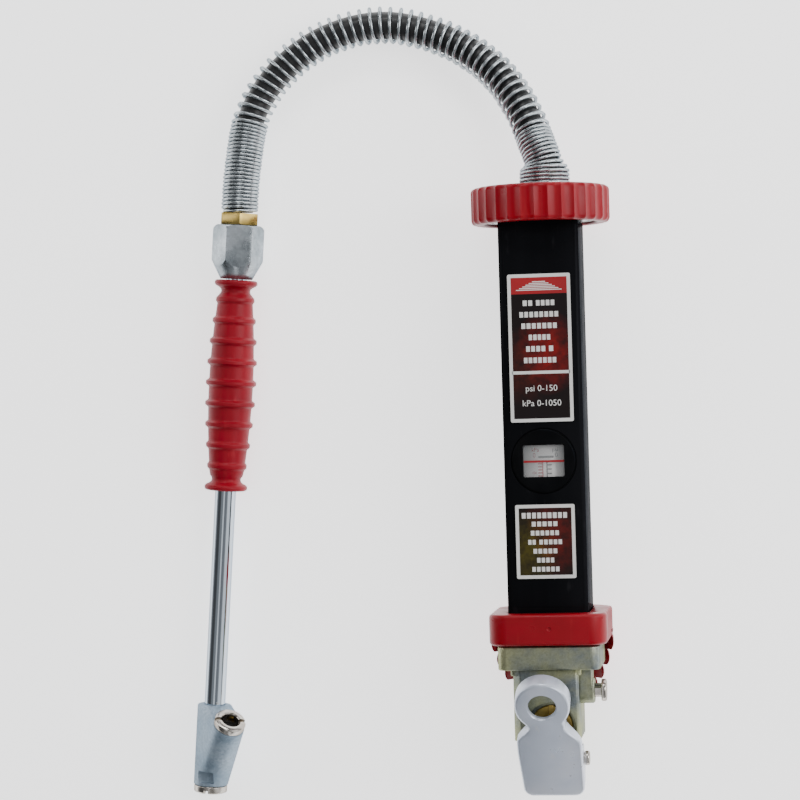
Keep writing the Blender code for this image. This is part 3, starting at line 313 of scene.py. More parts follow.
METAL_GRAIN = (0.20, 1800, 0.00006)
MATERIALS = {
    "anodised": make_material(
        "anodised", (0.0075, 0.0078, 0.0090), 0.19, 1.0, (0.7, 1.4), 25, rough_vary=0.035,
        grain=(0.10, 1400, 0.00004), stretch=(1, 0.08, 1), wear=(0.018, 0.018, 0.02),
    ),
    "black_trim": make_material(
        "black_trim", (0.0045, 0.0045, 0.0045), 0.34, 0.0, (0.8, 1.3), 60,
        grain=(0.12, 2200, 0.00003),
    ),
    # The two label materials carry painted sheen: soft patches of the light's reflection on the label, over its
    # dark print.
    "label": make_label_material(
        "label_upper", (0, 126.0), (0.006, 0.002, 0.002), (0.20, 0.005, 0.004),
        (0.055, 0.006, 0.003),
    ),
    "label_lower": make_label_material(
        "label_lower", (0, 41.5), (0.007, 0.003, 0.002), (0.11, 0.006, 0.004), (0.060, 0.048, 0.004)
    ),
    "print_white": make_material(
        "print_white", (0.80, 0.79, 0.76), 0.40, tint=(0.94, 1.04), grain=(0.05, 2000, 0.00002)
    ),
    "print_red": make_material(
        "print_red", (0.34, 0.004, 0.008), 0.35, tint=(0.9, 1.1), grain=(0.05, 2000, 0.00002)
    ),
    "print_black": make_material(
        "print_black", (0.012, 0.012, 0.012), 0.45, tint=(0.9, 1.2), grain=(0.05, 2000, 0.00002)
    ),
    "seal_rubber": make_material(
        "seal_rubber", (0.016, 0.016, 0.016), 0.62, tint=(0.8, 1.3), grain=(0.3, 1800, 0.00008)
    ),
    "cap_metal": make_material(
        "cap_metal", (0.60, 0.61, 0.62), 0.30, 0.95, (0.85, 1.1), 60, rough_vary=0.10,
        grain=(0.25, 900, 0.00005), stretch=(1, 6, 1),
    ),
    "red_rubber": make_material(
        "red_rubber", (0.27, 0.0003, 0.0075), 0.34, 0.0, (0.88, 1.10), 40, rough_vary=0.07,
        grain=(0.16, 1500, 0.00006), wear=(0.36, 0.012, 0.016),
    ),
    "red_grip": make_material(
        "red_grip", (0.28, 0.0005, 0.0110), 0.42, 0.0, (0.88, 1.10), 50, rough_vary=0.06,
        grain=(0.30, 1300, 0.00010), wear=(0.38, 0.014, 0.024),
    ),
    "brass": make_material(
        "brass", (0.38, 0.26, 0.060), 0.28, 1.0, (0.70, 1.1), 120, other=(0.44, 0.32, 0.10),
        rough_vary=0.10, grain=METAL_GRAIN,
    ),
    "screw_steel": make_material(
        "screw_steel", (0.55, 0.55, 0.56), 0.34, 1.0, (0.8, 1.1), 120, grain=METAL_GRAIN
    ),
    "spring_steel": make_material(
        "spring_steel", (0.48, 0.48, 0.50), 0.30, 1.0, (0.8, 1.15), 200, grain=METAL_GRAIN
    ),
    "scale_white": make_material(
        "scale_white", (0.74, 0.72, 0.70), 0.36, 0.25, (0.90, 1.05), 60, grain=(0.12, 900, 0.00005)
    ),
    "black_nylon": make_material("black_nylon", (0.02, 0.02, 0.02), 0.5, tint=(0.8, 1.2)),
    "white_nylon": make_material("white_nylon", (0.75, 0.74, 0.70), 0.5, tint=(0.93, 1.05)),
    "bronze": make_material(
        "bronze", (0.42, 0.28, 0.14), 0.6, 0.8, (0.6, 1.2), 500, grain=(0.6, 2400, 0.0002)
    ),
    "yellow_zinc": make_material(
        "yellow_zinc", (0.31, 0.35, 0.35), 0.36, 0.88, (0.66, 1.02), 70, other=(0.43, 0.44, 0.26),
        rough_vary=0.10, grain=(0.45, 1500, 0.00012), cells=1400,
    ),
    "nickel": make_material(
        "nickel", (0.48, 0.44, 0.39), 0.22, 1.0, (0.80, 1.08), 150, other=(0.52, 0.49, 0.45),
        rough_vary=0.08, grain=METAL_GRAIN,
    ),
    "lever_zinc": make_material(
        "lever_zinc", (0.58, 0.64, 0.75), 0.34, 0.45, (0.88, 1.05), 40, other=(0.62, 0.65, 0.72),
        rough_vary=0.08, grain=(0.22, 1700, 0.00006), wear=(0.66, 0.67, 0.69),
    ),
    "hose_rubber": make_material(
        "hose_rubber", (0.011, 0.011, 0.012), 0.42, 0.0, (0.7, 1.4), 120,
        grain=(0.35, 1100, 0.00012),
    ),
    "guard_wire": make_material(
        "guard_wire", (0.50, 0.54, 0.56), 0.26, 1.0, (0.80, 1.05), 160, rough_vary=0.09,
        grain=(0.25, 2200, 0.00005), cells=1200,
    ),
    "bright_zinc": make_material(
        "bright_zinc", (0.40, 0.45, 0.48), 0.30, 0.95, (0.78, 1.08), 90, other=(0.46, 0.50, 0.53),
        rough_vary=0.10, grain=(0.30, 1500, 0.00007), cells=700,
    ),
    "chrome": make_material(
        "chrome", (0.52, 0.58, 0.64), 0.10, 1.0, (0.92, 1.03), 60, rough_vary=0.035,
        grain=(0.05, 900, 0.00003), stretch=(1, 0.15, 1),
    ),
    "satin_zinc": make_material(
        "satin_zinc", (0.29, 0.38, 0.47), 0.42, 0.55, (0.84, 1.05), 70, other=(0.34, 0.41, 0.48),
        rough_vary=0.10, grain=(0.35, 1400, 0.00008), cells=900,
    ),
}


def make_lens_material():
    material = make_material("lens_clear", (0.92, 0.95, 0.95), 0.06, rough_vary=0.02,
                             grain=(0.03, 600, 0.00003))
    material.node_tree.nodes["Principled BSDF"].inputs["Alpha"].default_value = 0.14
    return material


MATERIALS["clear_lens"] = make_lens_material()
for metal_slot, edge_colour in (
    ("anodised", (0.020, 0.045, 0.085)), ("black_trim", (0.02, 0.03, 0.05)),
    ("guard_wire", (0.42, 0.46, 0.50)), ("bright_zinc", (0.40, 0.44, 0.48)),
    ("chrome", (0.34, 0.39, 0.46)), ("nickel", (0.42, 0.40, 0.38)), ("brass", (0.42, 0.36, 0.2)),
    ("satin_zinc", (0.3, 0.38, 0.46)), ("yellow_zinc", (0.4, 0.42, 0.36)),
):
    metal_shader = MATERIALS[metal_slot].node_tree.nodes["Principled BSDF"]
    metal_shader.inputs["Specular Tint"].default_value = (*edge_colour, 1)
anodised_shader = MATERIALS["anodised"].node_tree.nodes["Principled BSDF"]
anodised_shader.inputs["Metallic"].default_value = 0.2
anodised_shader.inputs["Specular IOR Level"].default_value = 0.0
for soft_slot in ("red_rubber", "red_grip", "label", "label_lower"):
    soft_shader = MATERIALS[soft_slot].node_tree.nodes["Principled BSDF"]
    soft_shader.inputs["Specular IOR Level"].default_value = 0.24


# --- Mesh builders, in millimetres -------------------------------------------------------------


def frame_along(direction, start, side):
    """A frame at start (mm) whose local Z runs along direction and whose X is nearest to side."""
    z_axis = Vector(direction).normalized()
    x_axis = (Vector(side) - z_axis * Vector(side).dot(z_axis)).normalized()
    result = Matrix((x_axis, z_axis.cross(x_axis), z_axis)).transposed().to_4x4()
    result.translation = Vector(start)
    return result


def to_object(bm, name, place):
    bmesh.ops.remove_doubles(bm, verts=bm.verts, dist=0.0004)
    bmesh.ops.recalc_face_normals(bm, faces=bm.faces)
    bmesh.ops.transform(bm, matrix=Matrix.Scale(MM, 4) @ place, verts=bm.verts)
    mesh = bpy.data.meshes.new(name)
    bm.to_mesh(mesh)
    bm.free()
    return add_object(name, mesh)


def evaluated_mesh(obj):
    bpy.context.view_layer.update()
    graph = bpy.context.evaluated_depsgraph_get()
    return bpy.data.meshes.new_from_object(obj.evaluated_get(graph))


def apply_modifiers(obj):
    mesh = evaluated_mesh(obj)
    obj.modifiers.clear()
    obj.data = mesh
    return obj


def combine(target, operation, others):
    """One exact Boolean after another, applied at once; the other objects go."""
    for other in others:
        modifier = target.modifiers.new("combine", "BOOLEAN")
        modifier.operation = operation
        modifier.solver = "EXACT"
        modifier.object = other
        apply_modifiers(target)
        bpy.data.objects.remove(other, do_unlink=True)
    return target


def cut(target, *others):
    return combine(target, "DIFFERENCE", others)


def join(target, *others):
    return combine(target, "UNION", others)


def trim(target, *others):
    return combine(target, "INTERSECT", others)


def soften(obj, width, segments=2, angle=35):
    bevel = obj.modifiers.new("edges", "BEVEL")
    bevel.width = width * MM
    bevel.segments = segments
    bevel.limit_method = "ANGLE"
    bevel.angle_limit = math.radians(angle)
    return apply_modifiers(obj)


def lathe(name, profile, place, steps=96):
    """Turns (radius, height) points about the frame's Z; off the axis at both ends it is a ring."""
    bm = bmesh.new()
    rings = []
    for radius, height in profile:
        if radius < 1e-6:
            rings.append([bm.verts.new((0, 0, height))])
            continue
        ring = []
        for i in range(steps):
            angle = 2 * math.pi * i / steps
            ring.append(bm.verts.new((radius * math.cos(angle), radius * math.sin(angle), height)))
        rings.append(ring)
    pairs = list(zip(rings, rings[1:]))
    if len(rings[0]) > 1 or len(rings[-1]) > 1:
        pairs.append((rings[-1], rings[0]))
    for upper, lower in pairs:
        for i in range(steps):
            after = (i + 1) % steps
            corners = [upper[i % len(upper)], upper[after % len(upper)],
                       lower[after % len(lower)], lower[i % len(lower)]]
            face = list(dict.fromkeys(corners))
            if len(face) > 2:
                bm.faces.new(face)
    return to_object(bm, name, place)


def rod(name, radius, start, end, place, steps):
    return lathe(name, [(0, start), (radius, start), (radius, end), (0, end)], place, steps)


def loft(name, sections, place, closed=False):
    """A skin through rings of 3-D points with equal counts: capped, or closed on itself."""
    bm = bmesh.new()
    rings = [[bm.verts.new(point) for point in section] for section in sections]
    count = len(rings[0])
    pairs = list(zip(rings, rings[1:]))
    if closed:
        pairs.append((rings[-1], rings[0]))
    for lower, upper in pairs:
        for i in range(count):
            after = (i + 1) % count
            bm.faces.new((lower[i], lower[after], upper[after], upper[i]))
    if not closed:
        bm.faces.new(rings[0])
        bm.faces.new(rings[-1])
    return to_object(bm, name, place)


def level(outline, height):
    return [(x, y, height) for x, y in outline]


def prism(name, outline, low, high, place):
    return loft(name, [level(outline, low), level(outline, high)], place)


def block(name, low, high, place=Matrix.Identity(4)):
    outline = [(low[0], low[1]), (high[0], low[1]), (high[0], high[1]), (low[0], high[1])]
    return prism(name, outline, low[2], high[2], place)


def circle(radius, count=96, x=0.0, y=0.0, start=0.0):
    step = 2 * math.pi / count
    return [
        (x + radius * math.cos(start + i * step), y + radius * math.sin(start + i * step))
        for i in range(count)
    ]


def arc(x, y, radius, start, end, count):
    points = []
    for i in range(count + 1):
        angle = math.radians(start + (end - start) * i / count)
        points.append((x + radius * math.cos(angle), y + radius * math.sin(angle)))
    return points


def rounded_box(left, right, bottom, top, radius, count=8):
    return (
        arc(right - radius, top - radius, radius, 0, 90, count)
        + arc(left + radius, top - radius, radius, 90, 180, count)
        + arc(left + radius, bottom + radius, radius, 180, 270, count)
        + arc(right - radius, bottom + radius, radius, 270, 360, count)
    )


def inset(outline, depth):
    """The outline moved inwards along its own normals; it runs anticlockwise."""
    moved = []
    count = len(outline)
    for i, (x, y) in enumerate(outline):
        before, after = outline[i - 1], outline[(i + 1) % count]
        dx, dy = after[0] - before[0], after[1] - before[1]
        length = math.hypot(dx, dy) or 1.0
        moved.append((x - dy / length * depth, y + dx / length * depth))
    return moved


def quarter_round(radius, steps):
    """(inset, rise) pairs of a rounded rim, from its flat face out to its side."""
    angles = [math.pi / 2 * i / steps for i in range(steps + 1)]
    return [(radius * (1 - math.sin(a)), radius * (1 - math.cos(a))) for a in angles]


def rounded_sections(outline, low, high, radius, steps=4):
    """Levels of a prism whose two rims are rounded."""
    rim = quarter_round(radius, steps)
    sections = [level(inset(outline, less), low + rise) for less, rise in rim]
    sections += [level(inset(outline, less), high - rise) for less, rise in reversed(rim)]
    return sections


def fillet(profile, radius, steps=4):
    """Rounds the corners of an open (radius, height) profile, its two ends aside."""
    points = [Vector(point) for point in profile]
    result = [tuple(points[0])]
    for before, corner, after in zip(points, points[1:], points[2:]):
        reach = min(radius, (before - corner).length / 2.01, (after - corner).length / 2.01)
        start = corner + (before - corner).normalized() * reach
        end = corner + (after - corner).normalized() * reach
        for i in range(steps + 1):
            t = i / steps
            result.append(tuple(start * (1 - t) ** 2 + corner * 2 * t * (1 - t) + end * t ** 2))
    result.append(tuple(points[-1]))
    return result


def settle(obj, body, slot, material=None, replaces=(), sharp=32):
    """Finishes a piece: shading, material, body, slot and the CAD nodes it stands for."""
    if obj.type == "MESH":
        obj.data.shade_smooth()
        obj.data.set_sharp_from_angle(angle=math.radians(sharp))
    obj.data.materials.clear()
    obj.data.materials.append(MATERIALS[material or slot])
    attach(obj, body)
    if replaces:
        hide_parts(*replaces)
    return obj


def text_piece(name, words, size, x, y, z):
    """Flat digits or units, facing +Z at the place given."""
    curve = bpy.data.curves.new(name, "FONT")
    curve.body = words
    curve.size = size
    curve.align_x = "CENTER"
    curve.align_y = "CENTER"
    curve.extrude = PRINT_THICKNESS / 2
    curve.resolution_u = 3
    obj = add_object(name, curve)
    mesh = evaluated_mesh(obj)
    bpy.data.objects.remove(obj, do_unlink=True)
    mesh.transform(Matrix.Scale(MM, 4) @ Matrix.Translation((x, y, z)))
    return add_object(name, mesh)


def merge(name, objects):
    """One object that holds the meshes of several."""
    bm = bmesh.new()
    for obj in objects:
        bm.from_mesh(obj.data)
        bpy.data.objects.remove(obj, do_unlink=True)
    bmesh.ops.remove_doubles(bm, verts=bm.verts, dist=0.0000005)
    mesh = bpy.data.meshes.new(name)
    bm.to_mesh(mesh)
    bm.free()
    return add_object(name, mesh)


# --- Frames of the object ----------------------------------------------------------------------

BARREL_LOW, BARREL_HIGH = box_mm("barrel")
AXIS_Z = (BARREL_LOW.z + BARREL_HIGH.z) / 2
HALF = (BARREL_HIGH.x - BARREL_LOW.x) / 2
FRONT_Z = BARREL_HIGH.z
WORLD = Matrix.Identity(4)
ROD_PLACES = [(x, y) for x in (-15.1, 15.1) for y in (-15.1, 15.1)]


def barrel_frame(x=0.0, z=None):
    """Local Z runs along +Y and local Y points down, as in the CAD."""
    return frame_along((0, 1, 0), (x, 0, AXIS_Z if z is None else z), (1, 0, 0))


def facing_frame(x, y, z=0.0):
    return frame_along((0, 0, 1), (x, y, z), (1, 0, 0))


SWIVEL = joint("wand_swivel")
WAND_FRAME = frame_along(SWIVEL["axis"], Vector(SWIVEL["pos_m"]) / MM, (1, 0, 0))
HINGE = Vector(joint("lever_press")["pos_m"]) / MM
LEVER_TILT = math.radians(28)
LEVER_FRAME = frame_along((0, -math.sin(LEVER_TILT), math.cos(LEVER_TILT)), HINGE, (1, 0, 0))
PIN_FRAME = frame_along((1, 0, 0), HINGE, (0, 0, 1))


# --- Hose, guard and coupling ------------------------------------------------------------------

HOSE_RADIUS = 6.5
WIRE_RADIUS = 0.86
GUARD_MEAN_RADIUS = 8.05
HOSE_ROUTE = (
    (2.4, 212.6, 32.5),
    (2.4, 215.0, 32.5),
    (1.3, 220.0, 32.0),
    (-1.0, 226.2, 30.6),
    (-5.0, 237.0, 26.9),
    (-10.5, 248.0, 22.5),
    (-18.0, 259.0, 17.8),
    (-28.7, 269.5, 13.5),
    (-41.5, 278.0, 10.4),
    (-55.5, 284.0, 9.2),
    (-71.0, 287.7, 9.1),
    (-86.7, 287.3, 9.1),
    (-102.0, 283.2, 9.1),
    (-115.0, 276.5, 9.1),
    (-126.0, 267.7, 9.3),
    (-134.0, 258.0, 10.0),
    (-139.3, 248.0, 11.0),
    (-142.1, 237.5, 12.3),
    (-143.8, 226.5, 13.4),
    (-145.2, 216.5, 14.0),
    (-146.35, 204.0, 14.1),
    (-146.57, 200.67, 14.02),
)


def smooth_route(points, step):
    route = [Vector(point) for point in points]
    ends = [route[0] * 2 - route[1], *route, route[-1] * 2 - route[-2]]
    smooth = [route[0]]
    for before, start, end, after in zip(ends, ends[1:], ends[2:], ends[3:]):
        pieces = max(1, round((end - start).length / step))
        left = start + (end - before) / 6
        right = end - (after - start) / 6
        smooth.extend(interpolate_bezier(start, left, right, end, pieces + 1)[1:])
    return smooth


def wire_piece(name, points, radius, resolution):
    curve = bpy.data.curves.new(name, "CURVE")
    curve.dimensions = "3D"
    curve.twist_mode = "MINIMUM"
    curve.bevel_depth = radius * MM
    curve.bevel_resolution = resolution
    curve.use_fill_caps = True
    spline = curve.splines.new("POLY")
    spline.points.add(len(points) - 1)
    for target, point in zip(spline.points, points):
        target.co = (*(Vector(point) * MM), 1)
    spline.use_smooth = True
    return add_object(name, curve)


def carried_frames(points):
    """(point, side, up) along a line, with the side carried without twist."""
    tangent = (points[1] - points[0]).normalized()
    side = Vector((0, 0, 1)).cross(tangent).normalized()
    frames = []
    for i, point in enumerate(points):
        ahead = points[min(i + 1, len(points) - 1)] - points[max(i - 1, 0)]
        tangent = ahead.normalized()
        side = (side - tangent * side.dot(tangent)).normalized()
        frames.append((point, side, tangent.cross(side)))
    return frames


def guard_turns(length):
    """(distance, turn) pairs along the guard: close wound at both ends, open in between."""
    close_pitch = 1.75
    open_pitch = 4.55
    first, last = 24.0, length - 41.0
    blend = 7.0
    distance, turn = 0.0, 0.0
    pairs = [(distance, turn)]
    step = 1 / 16
    while distance < length - WIRE_RADIUS:
        start_share = min(1.0, max(0.0, (distance - first) / blend))
        end_share = min(1.0, max(0.0, (last - distance) / blend))
        share = min(start_share, end_share)
        share = share * share * (3 - 2 * share)
        distance += (close_pitch + (open_pitch - close_pitch) * share) * step
        turn += step
        pairs.append((distance, turn))
    return pairs


def make_hose():
    centreline = smooth_route(HOSE_ROUTE, 3.0)
    tube = wire_piece("hose_tube", centreline, HOSE_RADIUS, 7)
    settle(tube, "inflator", "hose_rubber", replaces=["hose"])

    ring_top = box_mm("top_bumper")[1].y
    start = Vector((HOSE_ROUTE[0][0], ring_top + 0.4, HOSE_ROUTE[0][2]))
    fine = smooth_route([start, *HOSE_ROUTE[1:]], 0.5)
    frames = carried_frames(fine)
    reach = [0.0]
    for before, after in zip(fine, fine[1:]):
        reach.append(reach[-1] + (after - before).length)
    turns = guard_turns(reach[-1] - 0.5)
    points = []
    index = 0
    for distance, turn in turns:
        at = distance + WIRE_RADIUS
        while index < len(reach) - 2 and reach[index + 1] < at:
            index += 1
        share = min(1.0, (at - reach[index]) / (reach[index + 1] - reach[index]))
        point = fine[index].lerp(fine[index + 1], share)
        side = frames[index][1].lerp(frames[index + 1][1], share)
        up = frames[index][2].lerp(frames[index + 1][2], share)
        flare = min(1.0, max(0.0, (11.0 - distance) / 5.0))
        radius = GUARD_MEAN_RADIUS + 2.9 * flare * flare * (3 - 2 * flare)
        radius *= 1 + 0.010 * math.sin(turn * 1.7) * min(1.0, distance / 30)
        angle = 2 * math.pi * turn
        points.append(point + radius * (math.cos(angle) * side + math.sin(angle) * up))
    guard = wire_piece("guard_coil", points, WIRE_RADIUS, 3)
    settle(guard, "inflator", "guard_wire", replaces=["spring_guard"])

    coupling = make_coupling()


def chamfered_hexagon(name, corner_radius, low, high, chamfer, start=0.0, drop=None):
    """A hexagon with its corners turned off at both ends, as on a machined fitting."""
    drop = chamfer * 0.55 if drop is None else drop
    body = prism(name, circle(corner_radius, 6, start=start), low, high, WAND_FRAME)
    profile = [
        (0, high + 0.05),
        (corner_radius - chamfer, high + 0.05),
        (corner_radius + 0.05, high - drop),
        (corner_radius + 0.05, low + drop),
        (corner_radius - chamfer, low - 0.05),
        (0, low - 0.05),
    ]
    return trim(body, lathe("chamfer", profile, WAND_FRAME, 120))


def make_coupling():
    body = chamfered_hexagon("coupling_hex", 10.05, 0.3, 5.7, 0.7, math.radians(103))
    spigot = [
        (0, 2.0), (5.2, 2.0), (5.2, -6.0), (4.0, -6.0), (4.0, -8.8), (5.2, -8.8),
        (5.2, -10.5), (3.0, -12.5), (0, -12.5),
    ]
    join(body, lathe("spigot", spigot, WAND_FRAME, 48))
    cut(body, rod("bore", 2.2, 7, -14, WAND_FRAME, 32))
    soften(body, 0.15, 2, 25)
    return settle(body, "inflator", "brass", replaces=["hose_coupling"])


# --- Wand --------------------------------------------------------------------------------------


def make_nut():
    corner = 12.36
    end = -25.9
    body = prism("nut_hex", circle(corner, 6, start=math.radians(14)), end, 0, WAND_FRAME)
    envelope = [(0, 0.05), (10.4, 0.05), (11.3, -0.5), (12.0, -1.3), (12.46, -2.4),
                (12.46, -16.6), (12.2, -17.4), (7.7, end - 0.02), (0, end - 0.02)]
    trim(body, lathe("envelope", envelope, WAND_FRAME, 144))
    bore = [(0, 1), (5.6, 1), (5.6, -14.0), (3.0, -15.0), (3.0, -17.2), (5.2, -17.2),
            (5.2, end - 1), (0, end - 1)]
    cut(body, lathe("bore", bore, WAND_FRAME, 48))
    soften(body, 0.18, 2, 22)
    settle(body, "wand", "bright_zinc", replaces=["swivel_nut"])


def make_tube():
    low, top = -243.8, -17.5
    profile = [(3.4, low), (3.4, top), (4.8, top), (5.0, top - 0.2), (5.0, low + 0.2), (4.8, low)]
    tube = lathe("wand_pipe", profile, WAND_FRAME, 96)
    settle(tube, "wand", "chrome", replaces=["wand_tube"])


def make_grip():
    """The moulded grip: flanged ends, thin necks, and narrow ribs on a bulging body."""
    top, length = -26.4, 101.5
    bottom = top - length
    bore = 5.15

    def body_radius(height):
        share = (top - height) / length
        return 7.3 + 3.35 * math.sin(math.pi * share) ** 0.9

    ribs = [top - 9.4 - 10.05 * i for i in range(9)]
    # (radius, distance from the end) of the flange and neck, the same at both ends
    end = [(9.2, 0), (10.0, 0.35), (10.35, 1.1), (10.3, 2.0), (9.6, 2.8), (8.2, 3.5), (7.25, 4.3),
           (6.95, 5.2), (7.2, 6.2), (7.9, 7.1)]
    profile = [(bore, top)] + [(radius, top - away) for radius, away in end]
    height = top - 7.7
    while height > bottom + 9.2:
        radius = body_radius(height)
        for i, rib in enumerate(ribs):
            away = abs(height - rib)
            crest = 8.1 + 4.1 * math.sin(math.pi * (top - rib) / length)
            rise = max(0.0, crest - body_radius(rib))
            if away < 2.1:
                share = math.cos(math.pi * away / 4.2) ** 1.6
                radius = max(radius, body_radius(height) + rise * min(1.0, share * 1.35))
        profile.append((radius, height))
        height -= 0.34
    profile += [(radius, bottom + away) for radius, away in reversed(end)] + [(bore, bottom)]
    grip = lathe("grip_rubber", profile, WAND_FRAME, 96)
    settle(grip, "wand", "red_grip", replaces=["grip"], sharp=50)


BRANCH = Vector((0.329, -0.484, 0.811)).normalized()
REAR_FOOT = WAND_FRAME @ frame_along(BRANCH, Vector((0, 0, -265.4)) + BRANCH * 32.5, (1, 0, 0))
FRONT_FOOT = WAND_FRAME @ Matrix.Translation((0, 0, -270.8)) @ Matrix.Rotation(math.pi, 4, "X")


def hull(name, circles, count=96):
    bm = bmesh.new()
    for place, radius, height in circles:
        for x, y in circle(radius, count):
            bm.verts.new(place @ Vector((x, y, height)))
    found = bmesh.ops.convex_hull(bm, input=bm.verts)
    extra = [v for v in found["geom_interior"] + found["geom_unused"]
             if isinstance(v, bmesh.types.BMVert)]
    bmesh.ops.delete(bm, geom=list(set(extra)))
    bmesh.ops.dissolve_limit(bm, angle_limit=math.radians(1.0), verts=bm.verts, edges=bm.edges)
    return to_object(bm, name, WORLD)


CHUCK_TOP = -231.8
CHUCK_RADIUS = 8.3


def make_chuck():
    circles = [(WAND_FRAME, CHUCK_RADIUS - less, CHUCK_TOP - rise)
               for less, rise in quarter_round(0.9, 4)]
    circles += [(FRONT_FOOT, CHUCK_RADIUS, -0.35), (FRONT_FOOT, 7.95, 0),
                (REAR_FOOT, 7.7, -0.35), (REAR_FOOT, 7.35, 0)]
    body = hull("chuck_casting", circles)
    pocket = block("pocket", (-6.0, -25.0, -269.0), (3.4, -7.4, -263.2), WAND_FRAME)
    cutters = [
        rod("tube_hole", 5.15, -230, -244.3, WAND_FRAME, 64),
        rod("way", 2, -242, -265.8, WAND_FRAME, 24),
        soften(pocket, 0.5, 2),
    ]
    for place in (FRONT_FOOT, REAR_FOOT):
        cavity = [(0, 1), (5.6, 1), (5.6, -10), (3.4, -10), (3.4, -17.2), (0, -17.2)]
        cutters.append(lathe("cavity", cavity, place, 64))
    cut(body, *cutters)
    settle(body, "wand", "satin_zinc", replaces=["chuck_body"], sharp=24)
    make_foot("front_foot", FRONT_FOOT, 8.0)
    make_foot("rear_foot", REAR_FOOT, 7.5)


def make_foot(name, place, radius):
    face = 3.9
    outer = [(0.82 * radius, face), (radius - 0.25, face - 0.5), (radius, face - 0.9),
             (radius, 0.55), (radius - 0.2, 0.3), (5.3, 0.3), (5.3, -2.3), (4.3, -2.3),
             (4.3, face - 0.7), (4.8, face)]
    ring = lathe(f"{name}_collar", outer, place, 72)
    slot_place = place @ Matrix.Rotation(math.radians(20 if name == "rear_foot" else 95), 4, "Z")
    cut(ring, block("slot", (-10, -1.05, face - 1.7), (10, 1.05, 5), slot_place))
    soften(ring, 0.10, 2, 30)
    settle(ring, "wand", "nickel", replaces=[f"{name}_ring"])
    seal = [(5.3, -4.2), (5.3, -5.6), (2.7, -5.6), (2.7, -2.6), (5.3, -2.6), (5.3, -4.0)]
    seal = fillet(seal, 0.6)
    settle(lathe(f"{name}_washer", seal, place, 48), "wand", "seal_rubber",
           replaces=[f"{name}_seal"])
    pin_body = name.replace("_foot", "_pin")
    pin = [(0, -1.5), (0.8, -1.55), (1.2, -1.9), (1.2, -5.9), (4.2, -5.9), (4.4, -6.1),
           (4.4, -7.2), (4.2, -7.4), (0, -7.4)]
    settle(lathe(f"{name}_plunger", pin, place, 36), pin_body, "brass", replaces=[f"{name}_pin"])


# --- Barrel, sight and labels ------------------------------------------------------------------


def make_barrel():
    low_y, high_y = BARREL_LOW.y, BARREL_HIGH.y
    outline = rounded_box(-HALF, HALF, -HALF, HALF, 2.3, 8)
    barrel = loft("barrel_extrusion", rounded_sections(outline, low_y, high_y, 0.25, 2),
                  barrel_frame())
    cutters = [
        rod("bore", 13.6, high_y + 1, low_y - 1, barrel_frame(), 96),
    ]
    sight = middle("window_bezel")
    stepped = [(0, FRONT_Z + 1), (15.9, FRONT_Z + 1), (15.1, FRONT_Z - 0.15), (15.1, 49.5),
               (13.1, 49.5), (13.1, 46.9), (11.4, 46.9), (11.4, AXIS_Z), (0, AXIS_Z)]
    cutters.append(lathe("sight", stepped, facing_frame(0, sight.y), 120))
    holes = [(x, y, 1.8) for x, y in ROD_PLACES] + [(0, 16.05, 1.5)]
    for x, y, radius in holes:
        hole = circle(radius, 24, x, y)
        cutters.append(prism("hole", hole, low_y - 1, high_y + 1, barrel_frame()))
    cut(barrel, *cutters)
    settle(barrel, "inflator", "anodised", replaces=["barrel"], sharp=40)


def make_sight():
    sight = middle("window_bezel")
    place = facing_frame(0, sight.y)
    low_z = box_mm("window_bezel")[0].z
    dome = [(0, 51.0), (9.0, 51.0), (13.6, 50.95), (14.3, 50.85), (14.8, 50.45), (14.8, low_z),
            (0, low_z)]
    bezel = lathe("sight_trim", dome, place, 120)
    reveal = [
        level(rounded_box(-9.4, 9.4, -7.3, 7.3, 0.7, 6), low_z - 0.5),
        level(rounded_box(-9.4, 9.4, -7.3, 7.3, 0.7, 6), 50.6),
        level(rounded_box(-9.9, 9.9, -7.8, 7.8, 1.1, 6), 51.1),
    ]
    cut(bezel, loft("reveal", reveal, place))
    settle(bezel, "inflator", "black_trim", replaces=["window_bezel"])
    lens_low, lens_high = box_mm("lens")
    disc = [(0, lens_high.z), (12.5, lens_high.z), (12.8, lens_high.z - 0.3), (12.8, lens_low.z),
            (0, lens_low.z)]
    settle(lathe("sight_glass", disc, place, 96), "inflator", "clear_lens", replaces=["lens"])
    hairline = block("sight_hairline", (-9.3, -0.48, lens_high.z + 0.05),
                     (9.3, 0.48, lens_high.z + 0.2), facing_frame(0, sight.y - 0.2))
    settle(hairline, "inflator", "clear_lens", "print_red")
    return sight.y


def wrapped(obj, radius):
    """Slices a flat print at each mm of x, then bends it round the drum about the barrel's axis."""
    bm = bmesh.new()
    bm.from_mesh(obj.data)
    for x in range(-9, 10):
        bmesh.ops.bisect_plane(bm, geom=bm.verts[:] + bm.edges[:] + bm.faces[:],
                               plane_co=(x * MM, 0, 0), plane_no=(1, 0, 0))
    for vert in bm.verts:
        x, y, z = vert.co / MM
        angle = x / radius
        reach = radius + z
        vert.co = Vector((reach * math.sin(angle), y, AXIS_Z + reach * math.cos(angle))) * MM
    bm.to_mesh(obj.data)
    bm.free()
    return obj


